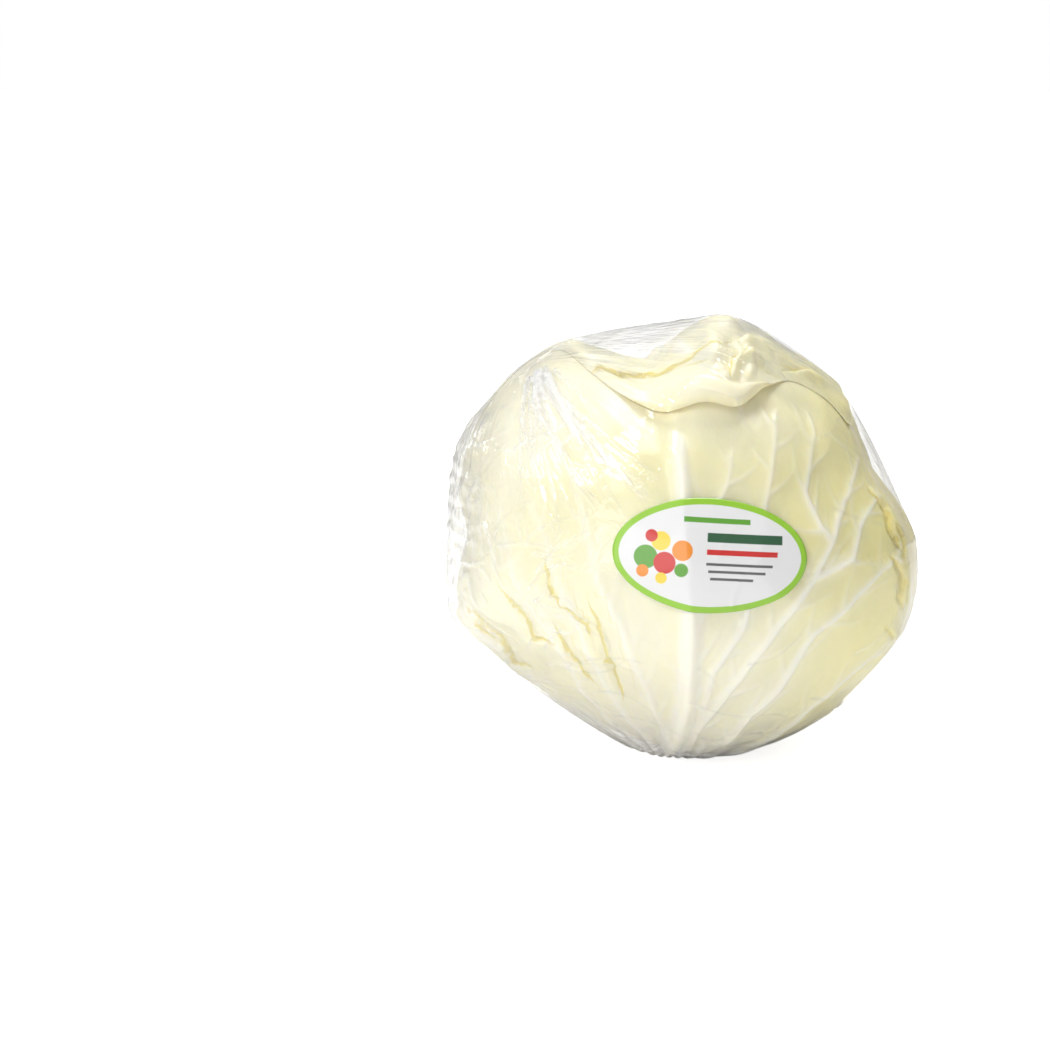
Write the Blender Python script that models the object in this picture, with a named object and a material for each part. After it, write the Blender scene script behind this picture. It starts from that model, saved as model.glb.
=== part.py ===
"""A whole peeled cabbage head in stretch film with a sticker, resting on its flattened underside.

Metres, +Z up, the front towards -Y. Every leaf is a closed blade that lies on the leaves under it:
its two faces are read from one radius rule about the head's centre, so the leaves nest with gaps.
"""

import math
from collections import namedtuple

import bmesh
import bpy
import numpy as np
from mathutils import Vector, geometry
from mathutils.bvhtree import BVHTree

MM = 0.001
UP = np.array([0.0, 0.0, 1.0])

# The head: radii of the packed leaves every 20 degrees round the front outline, from +X over the
# crown, in a plane that leans back by OUTLINE_LEAN. HALF_DEPTH is the radius towards the front.
HEAD_CENTRE = np.array([-2.5, -1.9, 94.5]) * MM
OUTLINE_LEAN = 12.0
OUTLINE = (106.4, 90.2, 98.0, 96.0, 99.2, 81.6, 99.6, 104.4, 104.0,
           96.8, 104.4, 95.4, 91.2, 92.2, 98.8, 104.2, 105.4, 110.4)
HALF_DEPTH = 99.0
STACK = 7.5

# The leaves: blade thickness at the midrib side and at the margin, and the air between two leaves.
BLADE = 1.7
MARGIN_BLADE = 1.1
LEAF_GAP = 1.6
COVERED_RIB = 0.15
STEP_FAR = 33.0
STEP_NEAR = 3.0
UNDERSIDE = -0.8
UNDERSIDE_STEP = 2.2
UNDERSIDE_ROUNDING = 3.0

# Widths in millimetres inside a margin over which a blade thickens, a rib fades in, and a leaf lying
# above presses the ribs under it flat.
BLADE_TAPER = 14.0
RIB_FADE = 10.0
PRESSED_FAR = 18.0
PRESSED_NEAR = 4.0

# The film, the broad fold in which it stands off the leaves at the left, the opening under the stalk
# where it was gathered, its flat resting ring and the sticker.
FILM = 0.6
FILM_GAP = 0.45
FIN_AT = (-82.0, 8.0)
FIN_HEIGHT = 4.5
FIN_HALF_WIDTH = (3.0, 17.0)
FIN_HALF_LENGTH = (16.0, 36.0)
OPENING_RADIUS = 14.0
RING_RADIUS = 24.0
MIDDLE_RING_RADIUS = 19.0
RING_SIDES = 24
RING_CLEAR = 8.0
LABEL_SIZE = (82.5, 47.5)
LABEL_THICKNESS = 0.5
LABEL_GAP = 0.55
LABEL_TILT = -4.0
LABEL_AT = (8.5, 7.5)

# The cut stem and the heart: the stem's rounded edge, its clearances, and the middles, outline and
# height of the low steps where the heart's outermost inner leaves end.
STALK_RADIUS = 14.0
STALK_EDGE = 1.2
STALK_SIDES = 24
STALK_GAP = 0.4
STALK_LIFT = 1.4
HEART_GAP = 4.6
HEART_LIFT = 2.0
HEART_LEAVES = ((40.0, 70.0), (200.0, 62.0), (300.0, 66.0))
HEART_MARGIN = (52, 46, 44, 48, 40, 44, 50, 54, 60, 62, 60, 56)
HEART_STEP = 1.2
HEART_STEP_WIDTH = 6.0

# The meshes: spacing of the points on a leaf, with the share of it between the points of a rib line
# and the shares within which a point counts as crowded, points round its margin, the farthest reach of
# a leaf in degrees, the smallest curl in degrees that gets rings of its own, and how far short of the
# margin a rib ends. The heart, the film and the planes that shape the film have evenly spread
# directions. A plane counts where it faces a direction by at least LEAST_FACING, and the film is
# lifted clear of what it lies on FILM_PASSES times.
LATTICE = 11.2
LINE_SPACING = 0.75
CROWDED = 0.62
CROWDED_ON_LINE = 0.2
LATTICE_CLEAR = 4.0
LINE_CLEAR = 1.0
MARGIN_POINTS = 60
LEAF_REACH = 150.0
LEAST_CURL = 2.0
CURL_RINGS = (0.34, 0.67, 1.0)
RIB_STOP = 9.0
HEART_POINTS = 620
FILM_POINTS = 640
FILM_PLANES = 900
LEAST_FACING = 0.2
FILM_PASSES = 6
LABEL_RINGS = ((0.25, 8), (0.5, 16), (0.75, 26), (1.0, 36))
LABEL_BRIDGE = 4.0
LABEL_PROBES = 8

Leaf = namedtuple("Leaf", "name azimuth elevation outline curl roll midrib ribs folds")
Rib = namedtuple("Rib", "points width height")

# Outlines, curls in degrees and the radii of the curls are values evenly spaced round the leaf, from
# its right side over its tip.
# Points are degrees right of and above the middle of the leaf, along the head's surface.


# The side ribs of a leaf that is mostly covered, the lowest pair first: how far each pair reaches
# sideways and how far it rises, its width and its height. They leave the midrib between two shares of
# its length, the right one a little higher than the left one, and bend by SIDE_RIB_BEND radians.
SIDE_RIBS = ((62.0, 20.0, 3.0, 2.3), (56.0, 34.0, 2.75, 2.1), (46.0, 44.0, 2.5, 1.9), (36.0, 48.0, 2.25, 1.7),
             (26.0, 46.0, 2.0, 1.5))
SIDE_RIB_SHARES = (0.06, 0.556)
SIDE_RIB_OFFSET = 3.0
SIDE_RIB_BEND = 1.45
SIDE_RIB_RISE = 1.5


def fan(base, tip):
    """Side ribs on both sides of a midrib from base to tip."""
    made = []
    first, last = SIDE_RIB_SHARES
    for i, (across, rise, width, height) in enumerate(SIDE_RIBS):
        start = base + (tip - base) * (first + (last - first) * i / (len(SIDE_RIBS) - 1))
        for side in (-1.0, 1.0):
            foot = start + SIDE_RIB_OFFSET * side
            points = [(side * across * math.sin(t * SIDE_RIB_BEND), foot + rise * t ** SIDE_RIB_RISE) for t in
                      (0.0, 0.2, 0.4, 0.6, 0.8, 1.0)]
            made.append(Rib(points, width, height))
    return made


FRONT_RIBS = [
    Rib([(0, -60), (2, -50), (2, -33), (2, -23), (3, -14), (7, 3), (8, 17), (10, 21), (13, 37), (13, 44)], 2.6, 1.5),
    Rib([(1, -70), (3, -61), (5, -45), (7, -27), (14, -15), (17, 2), (20, 17), (24, 33), (26, 42)], 2.8, 1.8),
    Rib([(1, -76), (3, -66), (4, -51), (11, -34), (16, -25), (22, -16), (27, -9), (32, -3), (36, 4), (39, 9),
         (42, 13), (48, 21), (57, 30)], 3.3, 2.6),
    Rib([(37, 6), (34, 10), (32, 19), (34, 26), (36, 35), (36, 42)], 2.4, 1.5),
    Rib([(32, -3), (38, -1), (43, 1), (46, 6), (50, 12), (58, 17), (67, 23)], 2.6, 1.6),
    Rib([(2, -78), (7, -68), (12, -60), (18, -42), (25, -34), (29, -25), (33, -18), (40, -13), (46, -8), (54, -3),
         (62, 1)], 3.4, 2.7),
    Rib([(6, -80), (14, -72), (28, -57), (37, -44), (47, -37), (60, -29), (67, -22)], 3.1, 2.2),
    Rib([(-3, -72), (-5, -55), (-10, -36), (-15, -22), (-18, -13), (-22, -4), (-26, 10), (-29, 24)], 3.2, 1.9),
    Rib([(-5, -80), (-12, -66), (-18, -48), (-24, -33), (-28, -17), (-34, -2), (-42, 16)], 3.2, 1.9),
    Rib([(-9, -82), (-20, -68), (-29, -46), (-33, -31), (-37, -20), (-46, -6), (-56, 14)], 3.2, 2.0),
    Rib([(-16, -82), (-34, -66), (-48, -50), (-60, -34), (-70, -16), (-80, 4), (-88, 22)], 3.2, 2.0),
    Rib([(-26, -82), (-54, -68), (-72, -50), (-80, -38)], 3.2, 2.0),
]

LEAVES = (
    Leaf("wrapper_leaf_back", 180.0, 5.0, (72, 74, 76, 74, 76, 74, 72, 72, 73, 84, 73, 72),
         (0,) * 12, (4.0,), Rib([(0, -84), (0, -50), (2, -20), (0, 20), (2, 62)], 8.0, 4.6),
         fan(-84.0, 70.0), ()),
    Leaf("wrapper_leaf_right", 118.0, 0.0, (68, 70, 80, 90, 88, 70, 56, 54, 64, 77, 68, 66),
         (0,) * 12, (3.4,),
         Rib([(0, -80), (1, -50), (-2, -20), (0, 20), (-2, 60)], 7.5, 4.4),
         fan(-80.0, 66.0), ()),
    Leaf("wrapper_leaf_front", 3.0, 4.0,
         (72, 72, 72, 70, 68, 61, 60, 72, 96, 112, 120, 124, 126, 126, 120, 112, 99, 88, 84, 79, 76, 76, 76, 74),
         (105, 60, 0, 0, 0, 0, 0, 0, 0, 0, 0, 30), (3.6,),
         Rib([(-4, -84), (-1, -57), (1, -37), (1, -20), (1, -10), (0, 2), (-1, 17), (-2, 27), (-3, 46)], 7.5, 4.2),
         FRONT_RIBS,
         (Rib([(-70, -12), (-58, -17), (-48, -20), (-44, -30), (-46, -42)], 9.0, 3.0),
          Rib([(-74, -24), (-66, -30), (-62, -40), (-56, -52)], 9.0, 3.4),
          Rib([(-40, -6), (-33, -14), (-29, -24), (-27, -34)], 8.0, 2.0))),
    Leaf("wrapper_leaf_left", -160.0, 35.0,
         (52, 49, 46, 44, 44, 50, 78, 96, 107, 109, 96, 88, 90, 95, 80, 66, 59, 58,
          60, 64, 70, 77, 84, 90, 98, 105, 110, 112, 111, 107, 100, 91, 80, 70, 62, 57),
         (0, 0, 0, 0, 0, 0, 80, 190, 210, 210, 90, 20, 20, 25, 15, 0, 0, 0,
          0, 0, 0, 0, 0, 0, 0, 0, 0, 0, 0, 0, 0, 0, 0, 0, 0, 0),
         (5.0, 4.0, 4.2, 5.6, 5.0, 5.0, 5.0, 5.0, 5.0, 5.0, 5.0, 5.0),
         Rib([(0, -108), (1, -80), (2, -30), (0, 10), (4, 50), (6, 74)], 8.0, 4.8),
         fan(-108.0, 60.0),
         (Rib([(2, 82), (-3, 76), (-3, 68)], 12.0, 5.0),
          Rib([(-1, 92), (10, 91), (24, 85), (36, 75), (43, 66)], 11.0, 3.0),
          Rib([(-2, 97), (-9, 93), (-13, 86), (-10, 79)], 7.0, 3.5),
          Rib([(-12, 63), (1, 64), (15, 64)], 13.0, 4.0),
          Rib([(38, 55), (27, 61), (15, 67)], 9.0, 3.0),
          Rib([(-14, 76), (-26, 74), (-37, 69), (-45, 64)], 8.0, 3.5),
          Rib([(-26, 60), (-40, 60), (-52, 58)], 8.0, 3.0),
          Rib([(39, 35), (43, 45), (44, 54)], 7.0, 2.0))),
)


def around(values, angle):
    """A smooth closed curve through evenly spaced values, read at angles in radians."""
    values = np.asarray(values, float)
    place = np.asarray(angle) / (2 * math.pi) * len(values)
    first = np.floor(place).astype(int)
    t = place - first
    a, b, c, d = (values[(first + k) % len(values)] for k in (-1, 0, 1, 2))
    return 0.5 * (2 * b + (c - a) * t + (2 * a - 5 * b + 4 * c - d) * t ** 2 + (3 * b - a - 3 * c + d) * t ** 3)


def smooth_step(x, start, end):
    t = np.clip((x - start) / (end - start), 0.0, 1.0)
    return t * t * (3 - 2 * t)


def head_radius(out):
    """Radius of the packed head along unit directions, in millimetres."""
    lean = math.radians(OUTLINE_LEAN)
    depth = out @ np.array([0.0, -math.cos(lean), math.sin(lean)])
    across = out[:, 0]
    rise = out @ np.array([0.0, math.sin(lean), math.cos(lean)])
    outline = around(OUTLINE, np.arctan2(rise, across))
    return 1.0 / np.sqrt((across ** 2 + rise ** 2) / outline ** 2 + depth ** 2 / HALF_DEPTH ** 2)


def axes(azimuth, elevation):
    """Right, up and outward axes of a piece of the surface. Azimuth 0 faces -Y, 90 faces +X."""
    turn, tip = math.radians(azimuth), math.radians(elevation)
    out = np.array([math.sin(turn) * math.cos(tip), -math.cos(turn) * math.cos(tip), math.sin(tip)])
    up = UP - out * out[2]
    up /= np.linalg.norm(up)
    return np.cross(up, out), up, out


def to_plane(leaf, out):
    """Places of directions on the leaf, in degrees right and up along the surface."""
    right, up, middle = axes(leaf.azimuth, leaf.elevation)
    turn = np.arccos(np.clip(out @ middle, -1.0, 1.0))
    scale = np.degrees(turn) / np.maximum(np.sin(turn), 1e-9)
    return np.stack([out @ right * scale, out @ up * scale], axis=1)


def from_plane(leaf, flat):
    right, up, middle = axes(leaf.azimuth, leaf.elevation)
    turn = np.radians(np.hypot(flat[:, 0], flat[:, 1]))
    angle = np.arctan2(flat[:, 1], flat[:, 0])
    sideways = np.outer(np.cos(angle), right) + np.outer(np.sin(angle), up)
    return np.outer(np.cos(turn), middle) + sideways * np.sin(turn)[:, None]


def inside_margin(leaf, flat):
    """Distance in millimetres from the leaf's margin, positive on the leaf."""
    reach = around(leaf.outline, np.arctan2(flat[:, 1], flat[:, 0]))
    return np.radians(reach - np.hypot(flat[:, 0], flat[:, 1])) * HALF_DEPTH


def ridge(rib, flat, widen=1.0):
    """A rounded ridge along a line of points, tapering to its end, in millimetres."""
    points = np.asarray(rib.points, float)
    lengths = np.hypot(*(points[1:] - points[:-1]).T)
    starts = np.concatenate([[0.0], np.cumsum(lengths)])
    height = np.zeros(len(flat))
    for start, end, length, gone in zip(points[:-1], points[1:], lengths, starts):
        along = np.clip((flat - start) @ (end - start) / length ** 2, 0.0, 1.0)
        away = flat - start - np.outer(along, end - start)
        distance = np.radians(np.hypot(away[:, 0], away[:, 1])) * HALF_DEPTH
        left = 1.0 - 0.75 * (gone + along * length) / starts[-1]
        width = rib.width * widen * (0.45 + 0.55 * left)
        here = rib.height * left * (0.5 + 0.5 * np.cos(math.pi * np.clip(distance / width, 0.0, 1.0)))
        height = np.maximum(height, here)
    return height


def rib_height(leaf, flat):
    height = ridge(leaf.midrib, flat)
    for rib in leaf.ribs:
        height = np.maximum(height, ridge(rib, flat))
    return height


def fold_height(leaf, flat):
    height = np.zeros(len(flat))
    for fold in leaf.folds:
        height = height + ridge(fold, flat)
    return height


def underlay(level, out):
    """What lies between the heart and the inner face of a leaf: the leaves under it and their gaps."""
    total = np.full(len(out), LEAF_GAP)
    for lower in LEAVES[:level]:
        flat = to_plane(lower, out)
        covered = smooth_step(inside_margin(lower, flat), -STEP_FAR, -STEP_NEAR)
        midrib = COVERED_RIB * ridge(lower.midrib, flat, 2.0)
        total = total + covered * (BLADE + LEAF_GAP + midrib)
    return total


def cover(level, out):
    """How far the leaves above press a leaf's ribs flat, from 0 to 1."""
    most = np.zeros(len(out))
    for upper in LEAVES[level + 1:]:
        inside = inside_margin(upper, to_plane(upper, out))
        most = np.maximum(most, smooth_step(inside, -PRESSED_FAR, -PRESSED_NEAR))
    return most


def lift_underside(points, floor):
    """The head's underside is pressed flat: each layer has its own lowest level, in millimetres."""
    above = points[:, 2] - floor * MM
    width = UNDERSIDE_ROUNDING * MM
    raised = points.copy()
    raised[:, 2] = floor * MM + 0.5 * (above + np.sqrt(above ** 2 + width ** 2))
    return raised


def floor_of(level):
    return UNDERSIDE + UNDERSIDE_STEP * (len(LEAVES) - 1 - level)


def leaf_faces(level, flat):
    """Inner and outer points of a leaf at places on it, with its margin rolled outwards where it curls."""
    leaf = LEAVES[level]
    angle = np.arctan2(flat[:, 1], flat[:, 0])
    margin = inside_margin(leaf, flat)
    roll = around(leaf.roll, angle)
    rolled = roll * np.radians(np.maximum(around(leaf.curl, angle), 0.0))
    bend = np.clip(rolled - margin, 0.0, None) / roll
    shift = np.degrees(bend * roll / HALF_DEPTH)
    start = flat - np.stack([np.cos(angle), np.sin(angle)], axis=1) * shift[:, None]
    out = from_plane(leaf, start)
    inner = head_radius(out) - STACK + underlay(level, out) + fold_height(leaf, start)
    blade = MARGIN_BLADE + (BLADE - MARGIN_BLADE) * smooth_step(margin, 0.0, BLADE_TAPER)
    pressed = 1.0 - (1.0 - COVERED_RIB) * cover(level, out)
    ribs = rib_height(leaf, start) * pressed * smooth_step(margin, 0.0, RIB_FADE)
    beyond = from_plane(leaf, start + np.stack([np.cos(angle), np.sin(angle)], axis=1) * 0.1)
    forward = beyond - out * np.sum(beyond * out, axis=1)[:, None]
    forward /= np.linalg.norm(forward, axis=1)[:, None]
    faces = []
    for depth, floor in ((np.zeros(len(flat)), floor_of(level) + BLADE), (blade + ribs, floor_of(level))):
        arm = roll - depth
        centre = out * (inner + roll)[:, None]
        points = centre + forward * (arm * np.sin(bend))[:, None] - out * (arm * np.cos(bend))[:, None]
        faces.append(lift_underside(HEAD_CENTRE + points * MM, floor))
    return faces


def leaf_lattice(leaf):
    """Places on a leaf: its margin, rings where it curls, its rib lines and an even lattice between."""
    spacing = math.degrees(LATTICE / HALF_DEPTH)
    angles = np.arange(MARGIN_POINTS) * 2 * math.pi / MARGIN_POINTS
    reach = around(leaf.outline, angles)
    towards = np.stack([np.cos(angles), np.sin(angles)], axis=1)
    places = [tuple(p) for p in towards * reach[:, None]]
    edges = []
    curled = around(leaf.roll, angles) * np.maximum(around(leaf.curl, angles), 0.0) / HALF_DEPTH
    for share in CURL_RINGS:
        for p, r, c in zip(towards, reach, curled):
            if c > LEAST_CURL:
                places.append(tuple(p * (r - c * share)))
    for rib in (leaf.midrib, *leaf.ribs):
        line = dense_line(rib.points, LINE_SPACING * spacing)
        line = [p for p in line if inside_margin(leaf, np.array([p]))[0] > RIB_STOP]
        first = len(places)
        places += line
        edges += [(first + i, first + i + 1) for i in range(len(line) - 1)]
        places += beside(line, math.degrees(rib.width / HALF_DEPTH))
    fixed = len(places)
    half = int(LEAF_REACH / spacing)
    row_step = spacing * math.sqrt(0.75)
    for row in range(-half, half + 1):
        for column in range(-half, half + 1):
            places.append(((column + 0.5 * (row % 2)) * spacing, row * row_step))
    kept, kept_edges = thinned(leaf, places, len(angles), fixed, edges, spacing)
    return kept, kept_edges, len(angles)


def dense_line(points, step):
    made = [tuple(map(float, points[0]))]
    for (x0, y0), (x1, y1) in zip(points[:-1], points[1:]):
        count = max(1, round(math.hypot(x1 - x0, y1 - y0) / step))
        made += [(x0 + (x1 - x0) * i / count, y0 + (y1 - y0) * i / count) for i in range(1, count + 1)]
    return made


def beside(line, width):
    """Points along both feet of a rib."""
    made = []
    for i, (x, y) in enumerate(line):
        (x0, y0), (x1, y1) = line[max(i - 1, 0)], line[min(i + 1, len(line) - 1)]
        length = math.hypot(x1 - x0, y1 - y0) or 1.0
        made += [(x + side * width * (y0 - y1) / length, y + side * width * (x1 - x0) / length)
                 for side in (-1.0, 1.0)]
    return made


def thinned(leaf, places, margin_count, fixed, edges, spacing):
    """Drops places off the leaf and places crowded by earlier ones, and renumbers the rib edges."""
    margins = inside_margin(leaf, np.array(places))
    kept, number = [], {}
    for i, p in enumerate(places):
        near = (CROWDED if i >= fixed else CROWDED_ON_LINE) * spacing
        clear = LATTICE_CLEAR if i >= fixed else LINE_CLEAR
        if i >= margin_count and margins[i] < clear:
            continue
        if all((p[0] - q[0]) ** 2 + (p[1] - q[1]) ** 2 > near ** 2 for q in kept):
            number[i] = len(kept)
            kept.append(p)
    return kept, [(number[a], number[b]) for a, b in edges if a in number and b in number]


# Base colour and roughness of each material.
LOOKS = {
    "heart": ((0.9, 0.86, 0.62), 0.45),
    "cut_stalk": ((0.85, 0.8, 0.6), 0.6),
    "leaf": ((0.9, 0.87, 0.68), 0.4),
    "film_wrap": ((0.95, 0.95, 0.95), 0.08),
    "label": ((0.9, 0.93, 0.85), 0.35),
}


def new_object(name, points, faces, look):
    """One closed mesh object with its own material, its faces turned outwards."""
    mesh = bpy.data.meshes.new(name)
    mesh.from_pydata([tuple(p) for p in points], [], [tuple(f) for f in faces])
    made = bmesh.new()
    made.from_mesh(mesh)
    bmesh.ops.recalc_face_normals(made, faces=made.faces)
    if made.calc_volume(signed=True) < 0:
        bmesh.ops.reverse_faces(made, faces=made.faces)
    made.to_mesh(mesh)
    made.free()
    mesh.shade_smooth()
    material = bpy.data.materials.new(name)
    material.use_nodes = True
    shader = material.node_tree.nodes["Principled BSDF"]
    colour, roughness = LOOKS[look]
    shader.inputs["Base Color"].default_value = (*colour, 1.0)
    shader.inputs["Roughness"].default_value = roughness
    mesh.materials.append(material)
    made = bpy.data.objects.new(name, mesh)
    bpy.context.scene.collection.objects.link(made)
    return made


def blade_solid(inner, outer, triangles):
    """Closes two like-triangulated faces with a rim along their open edges."""
    count = len(inner)
    sides = {}
    for a, b, c in triangles:
        for pair in ((a, b), (b, c), (c, a)):
            key = tuple(sorted(pair))
            sides[key] = None if key in sides else pair
    faces = [(a + count, b + count, c + count) for a, b, c in triangles]
    faces += [(c, b, a) for a, b, c in triangles]
    for pair in sides.values():
        if pair:
            a, b = pair
            faces += [(a, b, b + count), (a, b + count, a + count)]
    return np.concatenate([inner, outer]), faces


def make_leaf(level):
    leaf = LEAVES[level]
    places, edges, around_margin = leaf_lattice(leaf)
    loop = list(range(around_margin))
    found = geometry.delaunay_2d_cdt([Vector(p) for p in places], edges, [loop], 1, 1e-5)
    flat = np.array([tuple(v) for v in found[0]])
    inner, outer = leaf_faces(level, flat)
    triangles = [tuple(f) for f in found[2]]
    points, faces = blade_solid(inner, outer, triangles)
    corners = outer[np.array(triangles)]
    middles = 0.5 * (corners + np.roll(corners, 1, axis=1))
    touched = np.concatenate([outer, inner, middles.reshape(-1, 3)])
    return new_object(leaf.name, points, faces, "leaf"), touched


def spread(count):
    """Even directions over a sphere along a spiral."""
    turns = np.arange(count) * math.pi * (3 - math.sqrt(5))
    height = 1 - 2 * (np.arange(count) + 0.5) / count
    wide = np.sqrt(1 - height ** 2)
    return np.stack([wide * np.cos(turns), wide * np.sin(turns), height], axis=1)


def hull_faces(directions):
    """Triangles between neighbouring directions."""
    made = bmesh.new()
    for d in directions:
        made.verts.new(d)
    made.verts.index_update()
    bmesh.ops.convex_hull(made, input=made.verts, use_existing_faces=False)
    bmesh.ops.triangulate(made, faces=made.faces)
    made.faces.ensure_lookup_table()
    faces = [tuple(v.index for v in f.verts) for f in made.faces]
    made.free()
    return faces


def make_heart():
    """The tightly packed inner leaves as one solid, with the margins of the outermost as low steps."""
    out = spread(HEART_POINTS)
    relief = np.zeros(len(out))
    for azimuth, elevation in HEART_LEAVES:
        sheet = Leaf("inner", azimuth, elevation, HEART_MARGIN, None, None, None, None, None)
        margin = inside_margin(sheet, to_plane(sheet, out))
        relief += HEART_STEP * smooth_step(margin, 0.0, HEART_STEP_WIDTH)
    points = out * (head_radius(out) - STACK - HEART_GAP + relief)[:, None] * MM
    points = lift_underside(HEAD_CENTRE + points, floor_of(-1) + HEART_LIFT)
    return new_object("heart", points, hull_faces(out), "heart"), points


def make_stalk(heart_points):
    """The cut stem: a short tapered plug with a slightly domed cut face."""
    top = heart_points[:, 2].min() - STALK_GAP * MM
    low = STALK_LIFT * MM
    edge = STALK_EDGE * MM
    rings = ((0.0, top), (0.9, top), (1.0, top - edge), (1.0, low + edge), (0.9, low), (0.0, low))
    made = bmesh.new()
    profile = [made.verts.new((STALK_RADIUS * MM * r, 0.0, z)) for r, z in rings]
    edges = [made.edges.new(pair) for pair in zip(profile[:-1], profile[1:])]
    bmesh.ops.spin(made, geom=profile + edges, axis=(0, 0, 1), cent=(0, 0, 0), angle=2 * math.pi,
                   steps=STALK_SIDES, use_merge=True)
    bmesh.ops.remove_doubles(made, verts=made.verts, dist=1e-6)
    bmesh.ops.recalc_face_normals(made, faces=made.faces)
    points = [tuple(v.co) for v in made.verts]
    faces = [tuple(v.index for v in f.verts) for f in made.faces]
    made.free()
    return new_object("cut_stalk", points, faces, "cut_stalk")


def taut_radius(out, held):
    """Radius of a skin stretched over the held points: the inside of all planes that just touch them."""
    normals = spread(FILM_PLANES)
    reach = (held @ normals.T).max(axis=0)
    facing = out @ normals.T
    distance = np.where(facing > LEAST_FACING, reach / np.maximum(facing, LEAST_FACING), np.inf)
    return distance.min(axis=1)


def film_fin(out):
    """Height of the broad upright fold in which the film stands off the leaves at the left."""
    flat = to_plane(Leaf("fin", *FIN_AT, None, None, None, None, None, None), out)
    across = 1.0 - smooth_step(np.abs(flat[:, 0]), *FIN_HALF_WIDTH)
    return FIN_HEIGHT * across * (1.0 - smooth_step(np.abs(flat[:, 1]), *FIN_HALF_LENGTH))


def make_film(held):
    """The film: a taut closed skin over the leaves, open where it was gathered under the stalk."""
    rings = []
    turns = np.arange(RING_SIDES) * 2 * math.pi / RING_SIDES
    for radius in (OPENING_RADIUS, MIDDLE_RING_RADIUS, RING_RADIUS):
        ring = np.stack([np.cos(turns), np.sin(turns), np.zeros(RING_SIDES)], axis=1)
        low = radius * ring - HEAD_CENTRE / MM
        rings.append(low / np.linalg.norm(low, axis=1)[:, None])
    rings = np.concatenate(rings)
    even = spread(FILM_POINTS)
    clear = even[:, 2] > -math.cos(math.atan((RING_RADIUS + RING_CLEAR) * MM / HEAD_CENTRE[2]))
    out = np.concatenate([rings, even[clear]])
    faces = [f for f in hull_faces(out) if not all(i < RING_SIDES for i in f)]
    held = (held - HEAD_CENTRE) / MM
    deepest = (HEAD_CENTRE[2] / MM - FILM) / np.maximum(-out[:, 2], 1e-6)
    resting = np.arange(len(out)) < len(rings)
    foot = rings[-RING_SIDES:] * (deepest[len(rings) - RING_SIDES:len(rings), None] - FILM_GAP)
    taut = taut_radius(out, np.concatenate([held, foot])) + film_fin(out)
    radius = np.where(resting, deepest, taut + FILM_GAP)
    lengths = np.linalg.norm(held, axis=1)
    for _ in range(FILM_PASSES):
        tree = BVHTree.FromPolygons([tuple(p) for p in out * radius[:, None]], faces)
        raised = np.zeros(len(out))
        for p, length in zip(held, lengths):
            _, _, face, reach = tree.ray_cast(Vector((0, 0, 0)), Vector(p / length))
            if face is not None:
                corners = list(faces[face])
                raised[corners] = np.maximum(raised[corners], length + FILM_GAP - reach)
        radius = np.where(resting, deepest, radius + raised)
    inner = HEAD_CENTRE + out * radius[:, None] * MM
    outer = HEAD_CENTRE + out * (radius + FILM)[:, None] * MM
    outer[:, 2] = np.maximum(outer[:, 2], 0.0)
    outer[:len(rings), 2] = 0.0
    points, solid = blade_solid(inner, outer, faces)
    return new_object("film_wrap", points, solid, "film_wrap"), outer, faces


def make_label(film_outer, film_faces):
    """The oval sticker, laid on the film."""
    right, up, out = axes(*LABEL_AT)
    tilt = math.radians(LABEL_TILT)
    right, up = right * math.cos(tilt) + up * math.sin(tilt), up * math.cos(tilt) - right * math.sin(tilt)
    tree = BVHTree.FromPolygons([tuple(p) for p in film_outer], film_faces)
    places = [(0.0, 0.0)]
    for ring, count in LABEL_RINGS:
        for i in range(count):
            turn = 2 * math.pi * i / count
            places.append((ring * math.cos(turn), ring * math.sin(turn)))
    rim = list(range(len(places) - LABEL_RINGS[-1][1], len(places)))
    found = geometry.delaunay_2d_cdt([Vector(p) for p in places], [], [rim], 1, 1e-6)
    faces = [tuple(f) for f in found[2]]
    inner, outer = [], []
    turns = [2 * math.pi * i / LABEL_PROBES for i in range(LABEL_PROBES)]
    nearby = [(0.0, 0.0), *((LABEL_BRIDGE * math.cos(t), LABEL_BRIDGE * math.sin(t)) for t in turns)]
    for p in found[0]:
        across, rise = p.x * LABEL_SIZE[0] / 2, p.y * LABEL_SIZE[1] / 2
        towards = []
        for a, b in nearby:
            turn = math.hypot(across + a, rise + b) / HALF_DEPTH
            side = (right * (across + a) + up * (rise + b)) / max(math.hypot(across + a, rise + b), 1e-9)
            towards.append(out * math.cos(turn) + side * math.sin(turn))
        highest = max(tree.ray_cast(Vector(HEAD_CENTRE), Vector(t))[3] for t in towards)
        inner.append(HEAD_CENTRE + towards[0] * (highest + LABEL_GAP * MM))
        outer.append(HEAD_CENTRE + towards[0] * (highest + (LABEL_GAP + LABEL_THICKNESS) * MM))
    points, solid = blade_solid(np.array(inner), np.array(outer), faces)
    return new_object("label", points, solid, "label")


def main():
    for old in list(bpy.data.objects):
        bpy.data.objects.remove(old)
    _, heart_points = make_heart()
    make_stalk(heart_points)
    held = np.concatenate([make_leaf(level)[1] for level in range(len(LEAVES))])
    _, film_outer, film_faces = make_film(held)
    make_label(film_outer, film_faces)


main()
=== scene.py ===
import math
from collections import namedtuple

import bpy
import numpy as np
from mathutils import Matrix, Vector
from mathutils.bvhtree import BVHTree


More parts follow.
